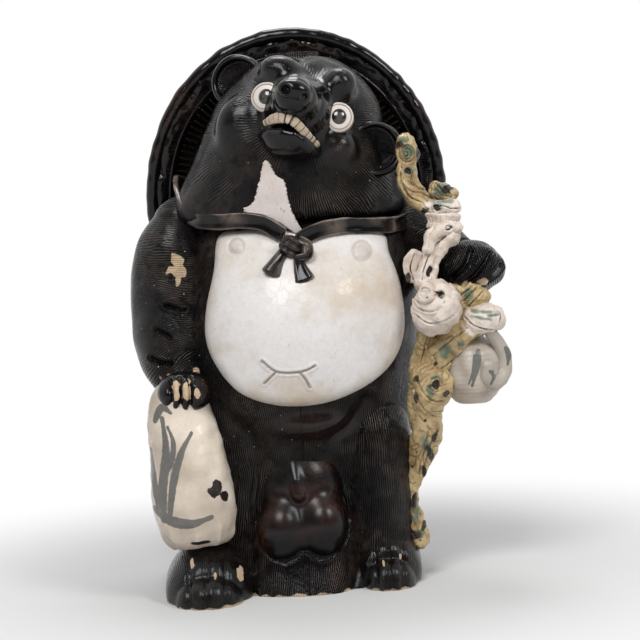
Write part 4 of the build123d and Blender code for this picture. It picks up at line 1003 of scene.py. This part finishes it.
CUTS = {
    "crook": [(0.737, 3.345, 2.2), (0.742, 3.345, 4.4), (0.750, 3.345, 6.4),
              ((0.69, 3.20), (0.69, 3.13), (0.75, 3.06), (0.85, 3.03), (0.93, 2.99)),
              ((0.79, 3.20), (0.77, 3.13), (0.82, 3.08), (0.90, 3.05)),
              ((0.70, 3.09), (0.76, 3.00), (0.84, 2.96), (0.88, 2.88))],
    "burl": [(0.805, 2.268, 9.0), (0.808, 2.268, 3.6),
             ((0.72, 2.20), (0.75, 2.15), (0.83, 2.12), (0.91, 2.14), (0.96, 2.20)),
             ((0.73, 2.10), (0.83, 2.03), (0.97, 2.05), (1.06, 2.12))],
    "bead": [((0.93, 2.925), (1.00, 2.925)), ((1.00, 2.925), (1.06, 2.90)), ((1.06, 2.90), (1.12, 2.895))],
    "end": [((1.12, 2.06), (1.18, 1.99), (1.28, 1.95), (1.40, 1.93)),
            ((1.36, 2.12), (1.40, 2.05), (1.38, 1.97))],
    "wrap": [((1.08, 2.20), (1.19, 2.28)), ((1.16, 2.13), (1.28, 2.24)), ((1.12, 2.17), (1.23, 2.27))],
    "limb": [((0.86, 1.76), (0.98, 1.86), (1.14, 1.97)),
             ((0.90, 1.64), (1.02, 1.72), (1.18, 1.84))],
    "knot": [(0.872, 1.548, 5.4), ((0.72, 1.60), (0.76, 1.50), (0.84, 1.42), (0.92, 1.41)),
             ((0.70, 1.52), (0.73, 1.42), (0.78, 1.34))],
    "foot": [((0.80, 1.18), (0.77, 1.05), (0.73, 0.93), (0.715, 0.83)),
             ((0.84, 1.15), (0.80, 1.02), (0.76, 0.90), (0.745, 0.80)),
             ((0.73, 1.30), (0.79, 1.22), (0.85, 1.13)),
             ((0.63, 0.66), (0.60, 0.56), (0.61, 0.44), (0.66, 0.34)),
             ((0.66, 0.66), (0.645, 0.53), (0.67, 0.42), (0.72, 0.33))],
    "stem": [((0.76, 1.66), (0.80, 1.80), (0.83, 1.94))],
    "neck": [((0.80, 2.36), (0.83, 2.48), (0.90, 2.60), (1.0, 2.69))],
    "leaf": [((0.76, 2.56), (0.72, 2.46), (0.74, 2.36))],
    "stub": [((0.96, 3.10), (1.01, 3.03)), ((1.02, 3.07), (1.06, 3.01))],
}
PITS = {  # ovals, like those of the pools, greens and creams below
    "burl": [(0.935, 2.243, 2.3, 2.5), (0.905, 2.262, 0.9, 0.9)],
    "neck": [(0.869, 2.426, 2.2, 3.8, -0.3)],
    "twist": [(1.035, 2.75, 2.2, 2.0)],
    "knot": [(0.875, 1.55, 3.6, 4.6, 0.2)],
    "crook": [(0.747, 3.213, 3.0, 2.4)],
    "bead": [(0.949, 2.908, 2.8, 3.0)],
}
POOLS = {
    "crook": [(0.845, 3.34, 2.6, 13), (0.68, 3.00, 3.0, 6.0, 0.5), (0.86, 2.87, 5.0, 5.0, 0.3),
              (0.70, 3.42, 3.5, 3.0)],
    "stub": [(1.03, 3.05, 7.0, 4.0, 0.4)],
    "foot": [(0.850, 1.13, 2.6, 7.0, -0.4), (0.81, 0.98, 2.6, 11.0, 0.35), (0.765, 0.83, 2.6, 7.0, 0.3),
             (0.665, 0.62, 3.0, 8.0, -0.2), (0.615, 0.47, 3.4, 9.0, -0.2), (0.66, 0.36, 5.0, 5.0),
             (0.663, 0.894, 1.6, 1.2), (0.78, 1.26, 2.0, 1.8), (0.735, 0.42, 2.4, 7.0, -0.3)],
    "knot": [(0.722, 1.594, 3.0, 3.4), (0.95, 1.47, 4.0, 3.0), (0.71, 1.45, 2.0, 6.0)],
    "leaf": [(0.70, 2.38, 2.5, 5.0)],
    "limb": [(0.88, 1.70, 3.0, 2.0)],
}
GREENS = {
    "crook": [(0.76, 3.36, 6.0, 5.0), (0.76, 3.22, 5.0, 4.0), (0.73, 3.46, 5.0, 3.0)],
    "stub": [(1.01, 3.06, 8.0, 6.0, 0.4), (0.98, 3.02, 6.0, 3.0)],
    "bead": [(0.965, 2.93, 4.5, 5.0), (1.03, 2.955, 6.0, 2.0)],
    "end": [(1.20, 2.10, 6.0, 2.0, -0.3), (1.27, 2.09, 9.0, 1.5, -0.1), (1.24, 2.045, 8.0, 1.6, -0.2),
            (1.34, 2.06, 6.0, 1.5)],
    "wrap": [(1.17, 2.22, 5.0, 6.0, -0.6)],
    "limb": [(0.95, 1.80, 7.0, 6.0, 0.5), (1.03, 1.70, 5.0, 2.0, -0.6), (1.08, 1.84, 4.0, 3.0)],
    "knot": [(0.87, 1.60, 6.0, 2.5), (0.83, 1.49, 4.0, 5.0)],
    "foot": [(0.79, 1.04, 3.5, 12.0, 0.3), (0.68, 0.55, 3.5, 12.0, -0.1), (0.71, 0.37, 4.0, 3.0)],
    "burl": [(0.93, 2.245, 3.2, 3.4)],
}
CREAMS = {"crook": [(0.93, 2.92, 7.0, 6.0)], "limb": [(1.20, 1.98, 8.0, 7.0)],
          "leaf": [(0.75, 2.54, 4.0, 5.0)]}
COLLAR = ((0.4, 0), (8, 0), (11.6, 0.2), (12.6, 1.6), (12.0, 4), (12.4, 6), (13.2, 8), (13.6, 9.8),
          (12.8, 10.9), (9, 11), (0.4, 11))


def branch_glaze(name, pale=0.0):
    """Straw-yellow ash glaze. The mark tone gives where copper green has run, where iron has pooled dark and
    where the cream slip shows; grooves and pits are dark with the same iron."""
    mix = Recipe(name)
    green, dark, cream = mix.mark("tone")
    cloud = mix.noise(55.0, 4.0, 0.6)
    colour = mix.tint(cloud.ramp(0.35, 0.7), (0.55, 0.415, 0.22), (0.30, 0.20, 0.09))
    slip = mix.ragged(cream + pale, mix.noise(80.0, 4.0), 0.7, 0.3, 0.7)
    colour = mix.tint(slip, colour, mix.tint(cloud.ramp(0.45, 0.75), (0.74, 0.65, 0.575), (0.55, 0.43, 0.33)))
    vein = (mix.noise(42.0, 1.0, 0.4) * 60.0).math("COSINE").ramp(0.80, 0.99)
    vein = vein * (1 - slip) * mix.noise(70.0).ramp(0.38, 0.6)
    colour = mix.tint(vein * 0.5, colour, (0.075, 0.052, 0.030))
    run = mix.ragged(green, mix.noise(95.0, 5.0, 0.65), 1.1, 0.35, 0.95) * 0.8
    colour = mix.tint(run, colour, mix.tint(mix.noise(260.0), (0.028, 0.085, 0.075), (0.12, 0.20, 0.13)))
    pool = mix.ragged(dark, mix.noise(170.0, 5.0, 0.65), 1.0, 0.42, 0.66)
    pit = mix.noise(230.0, 4.0).ramp(0.66, 0.76) * (1 - slip * 0.7)
    colour = mix.tint(pool.math("MAXIMUM", pit * 0.8), colour,
                      mix.tint(mix.noise(120.0), (0.012, 0.012, 0.014), (0.055, 0.036, 0.020)))
    return mix.finish(mix.noise(110.0, 5.0, 0.62) - pit * 0.5 - pool * 0.25 - vein * 0.35, 0.0016,
                      Base_Color=colour, Roughness=cloud.ramp(0.3, 0.7, 0.2, 0.42), Specular_IOR_Level=0.4)


STRAW, CREAM = branch_glaze("branch_glaze_straw"), branch_glaze("branch_glaze_cream", pale=0.8)


def branch_lump(lump, grid, strands=1.0):
    """Scores and pits one lump of the branch, marks its colours and makes the piece. Strands go from 0 in
    the furrows between them to 1 on their backs."""
    name = f"branch_{lump}"
    grid = rough_clay(rough_clay(grid, 0.0009, 0.012, len(name)), 0.0003, 0.004, 72)
    grid = pushed(grid, 0.0013 * np.sqrt(strands) - 0.0009)
    grid, cut = scored(grid, CUTS.get(lump, ()), 0.0007, 0.0014, 0.0005)
    hole = patch(grid, PITS.get(lump, ()), 0.25)
    grid = pushed(grid, -0.0034 * hole)
    dark = np.maximum(np.maximum(patch(grid, POOLS.get(lump, ()), 0.6) * 0.8, hole * 1.2), cut * 0.6)
    dark = np.maximum(dark, 0.42 * bell(strands, 0.16))
    tone = marked(patch(grid, GREENS.get(lump, ()), 0.6), dark, patch(grid, CREAMS.get(lump, ()), 0.4))
    clay(f"{name}_clay", grid, name, CREAM if lump in PALE else STRAW, {"tone": tone})


for lump, (path, wide) in BRANCH.items():
    grid, s, turn = limb(path, 12, [k * DEEP.get(lump, 0.92) for k in wide], wide, INWARD, 150, 100)
    strands = np.abs(np.sin(1.5 * turn + 48 * s + 0.9 * wobble(grid, 0.03, 71)))
    if lump == "burl":  # a coiled knot raised on its face
        away = np.linalg.norm(grid - put((0.805, 0.80, 2.268)), axis=-1)
        grid = pushed(grid, 0.0034 * bell(away - 0.0062, 0.0024) + 0.0014 * bell(away, 0.0020))
    branch_lump(lump, grid, 1.0 if lump in ("burl", "bead", "end") else strands)
# The collar is a short cup with flutes pressed round it by a fingertip.
grid, turn, _, height = turned((0.99, 0.50, 2.75), (0.01, 0.0, 0.11), COLLAR, 70, 180)
flute = np.abs(np.sin(9 * turn + 0.4 * np.sin(3 * turn))) ** 0.5 * unit(height / 0.003)
branch_lump("collar", pushed(grid, -0.0009 * (1 - flute) * (height > 0.001) * (height < 0.0095)))

# The hanging jar
# A small thrown jar hangs from the branch, tied on with a looped coil of white clay.
JAR = ((0.4, -26.5), (6, -26.5), (12.5, -26.5), (21.5, -16.5), (25, -2.5), (22, 14), (11.5, 24.5), (8.5, 27),
       (4, 27), (0.4, 27))
JAR_STROKES = ((((1.218, 1.783), (1.205, 1.682), (1.155, 1.515)), 2.6),
               (((1.183, 1.751), (1.169, 1.633), (1.13, 1.533)), 1.6))
TIE = ((1.32, 0.54, 1.92), (1.39, 0.50, 1.82), (1.43, 0.47, 1.70), (1.42, 0.48, 1.59), (1.35, 0.54, 1.53),
       (1.28, 0.60, 1.57), (1.28, 0.63, 1.67))
TIE_STROKES = ((((1.440, 1.79), (1.461, 1.736), (1.45, 1.66)), 2.4),
               (((1.295, 1.626), (1.327, 1.591), (1.299, 1.524)), 2.0))
JAR_GLAZE = white_glaze("jar_glaze", white=(0.50, 0.455, 0.40))
grid, turn, _, height = turned((1.18, 0.38, 1.63), UPRIGHT, JAR, 130, 160)
thrown = np.sin(height * 1700 + 0.6 * np.sin(turn))
grid = rough_clay(grid, 0.0004, 0.03, 51) + outward(grid) * (0.0001 * thrown)[..., None]
darkened = unit(0.18 + 0.05 * thrown + 0.35 * wobble(grid, 0.02, 53))
clay("jar_body", grid, "hanging_jar", JAR_GLAZE,
     worn(0.0, darkened, brushed(grid, JAR_STROKES) * 0.9))
grid, s, turn = limb(TIE, 5.6, (0.8, 0.9, 1.0, 1.0, 1, 0.9, 0.8), (0.9, 1.0, 1.1, 1.05, 1.1, 1.0, 0.8), INWARD,
                     160, 60)
grid = rough_clay(grid, 0.0004, 0.01, 52)
grid[..., 0] = np.minimum(grid[..., 0], 0.1503)
clay("jar_tie_coil", grid, "jar_tie", JAR_GLAZE, worn(0.0, 0.15, brushed(grid, TIE_STROKES)))

# The studio
# A pale floor, a large soft window to the left, a weaker one to the right, a small one above, and the camera.
# The room in front of the object is dark in what the glaze mirrors.
floor_mesh = bpy.data.meshes.new("floor")
floor_mesh.from_pydata([(-9, -9, 0), (9, -9, 0), (9, 9, 0), (-9, 9, 0)], [], [(0, 1, 2, 3)])
floor = bpy.data.objects.new("floor", floor_mesh)
bpy.context.scene.collection.objects.link(floor)


def seen_straight(recipe):
    """1 for rays from the camera, off gloss and through glass, 0 for those that carry light."""
    camera, glossy, through = (recipe.node("LightPath", output=f"Is {kind} Ray")
                               for kind in ("Camera", "Glossy", "Transmission"))
    return (camera + glossy + through).ramp(0.0, 1.0)


paper = Recipe("white_paper")
paper.finish(Base_Color=(0.72, 0.72, 0.72), Roughness=0.95)
east, north, _ = paper.parts(paper.place)
white_far_off = seen_straight(paper) * (east * east + north * north).math("SQRT").ramp(0.16, 0.5)
matt = Value(paper, paper.tree.nodes["Principled BSDF"].outputs[0])
glow = paper.node("Emission", inputs={"Color": (1.0, 1.0, 1.0, 1.0), "Strength": 1.0})
paper.put_in(paper.tree.nodes["Material Output"].inputs["Surface"],
             paper.node("MixShader", inputs=[white_far_off, matt, glow]))
floor_mesh.materials.append(paper.made)

sky = Recipe("studio", bpy.data.worlds)
_, north, up = sky.parts(sky.node("TexCoord", output="Generated"))
dark_room = north.ramp(-0.05, -0.45, shape="LINEAR") * up.ramp(0.02, 0.16, shape="LINEAR")
seen = seen_straight(sky)
backdrop = sky.tree.nodes["Background"].inputs
sky.put_in(backdrop["Strength"], seen * (1.0 - dark_room * 0.88) + (1.0 - seen) * 0.25)
sky.put_in(backdrop["Color"], (1, 1, 1, 1))
bpy.context.scene.world = sky.made


def softbox(name, place, aim, size, power):
    """A square lamp at a place, turned to face its aim."""
    lamp = bpy.data.lights.new(name, "AREA")
    lamp.shape, lamp.size, lamp.energy = "SQUARE", size, power
    stand = bpy.data.objects.new(name, lamp)
    stand.location = place
    stand.rotation_euler = (Vector(aim) - Vector(place)).to_track_quat("-Z", "Y").to_euler()
    bpy.context.scene.collection.objects.link(stand)


softbox("window_left", (-0.38, -1.2, 1.55), (0, 0, 0.26), 0.75, 20)
softbox("window_right", (1.0, -0.95, 1.25), (0, 0, 0.2), 0.5, 10)
softbox("window_top", (0.0, 0.5, 1.5), (0, 0, 0.3), 0.5, 6)

camera_data = bpy.data.cameras.new("camera")
camera_data.sensor_width, camera_data.lens = 36.0, 89.98
camera = bpy.data.objects.new("camera", camera_data)
bpy.context.scene.collection.objects.link(camera)
eye, aim = Vector((0.001535, -1.296502, 0.2805)), Vector((0.001535, 0.003498, 0.2055))
camera.matrix_world = (Matrix.Translation(eye) @ (aim - eye).to_track_quat("-Z", "Y").to_matrix().to_4x4()
                       @ Matrix.Rotation(radians(-3.0), 4, "Z"))
bpy.context.scene.camera = camera
bpy.context.scene.view_settings.view_transform = "Standard"
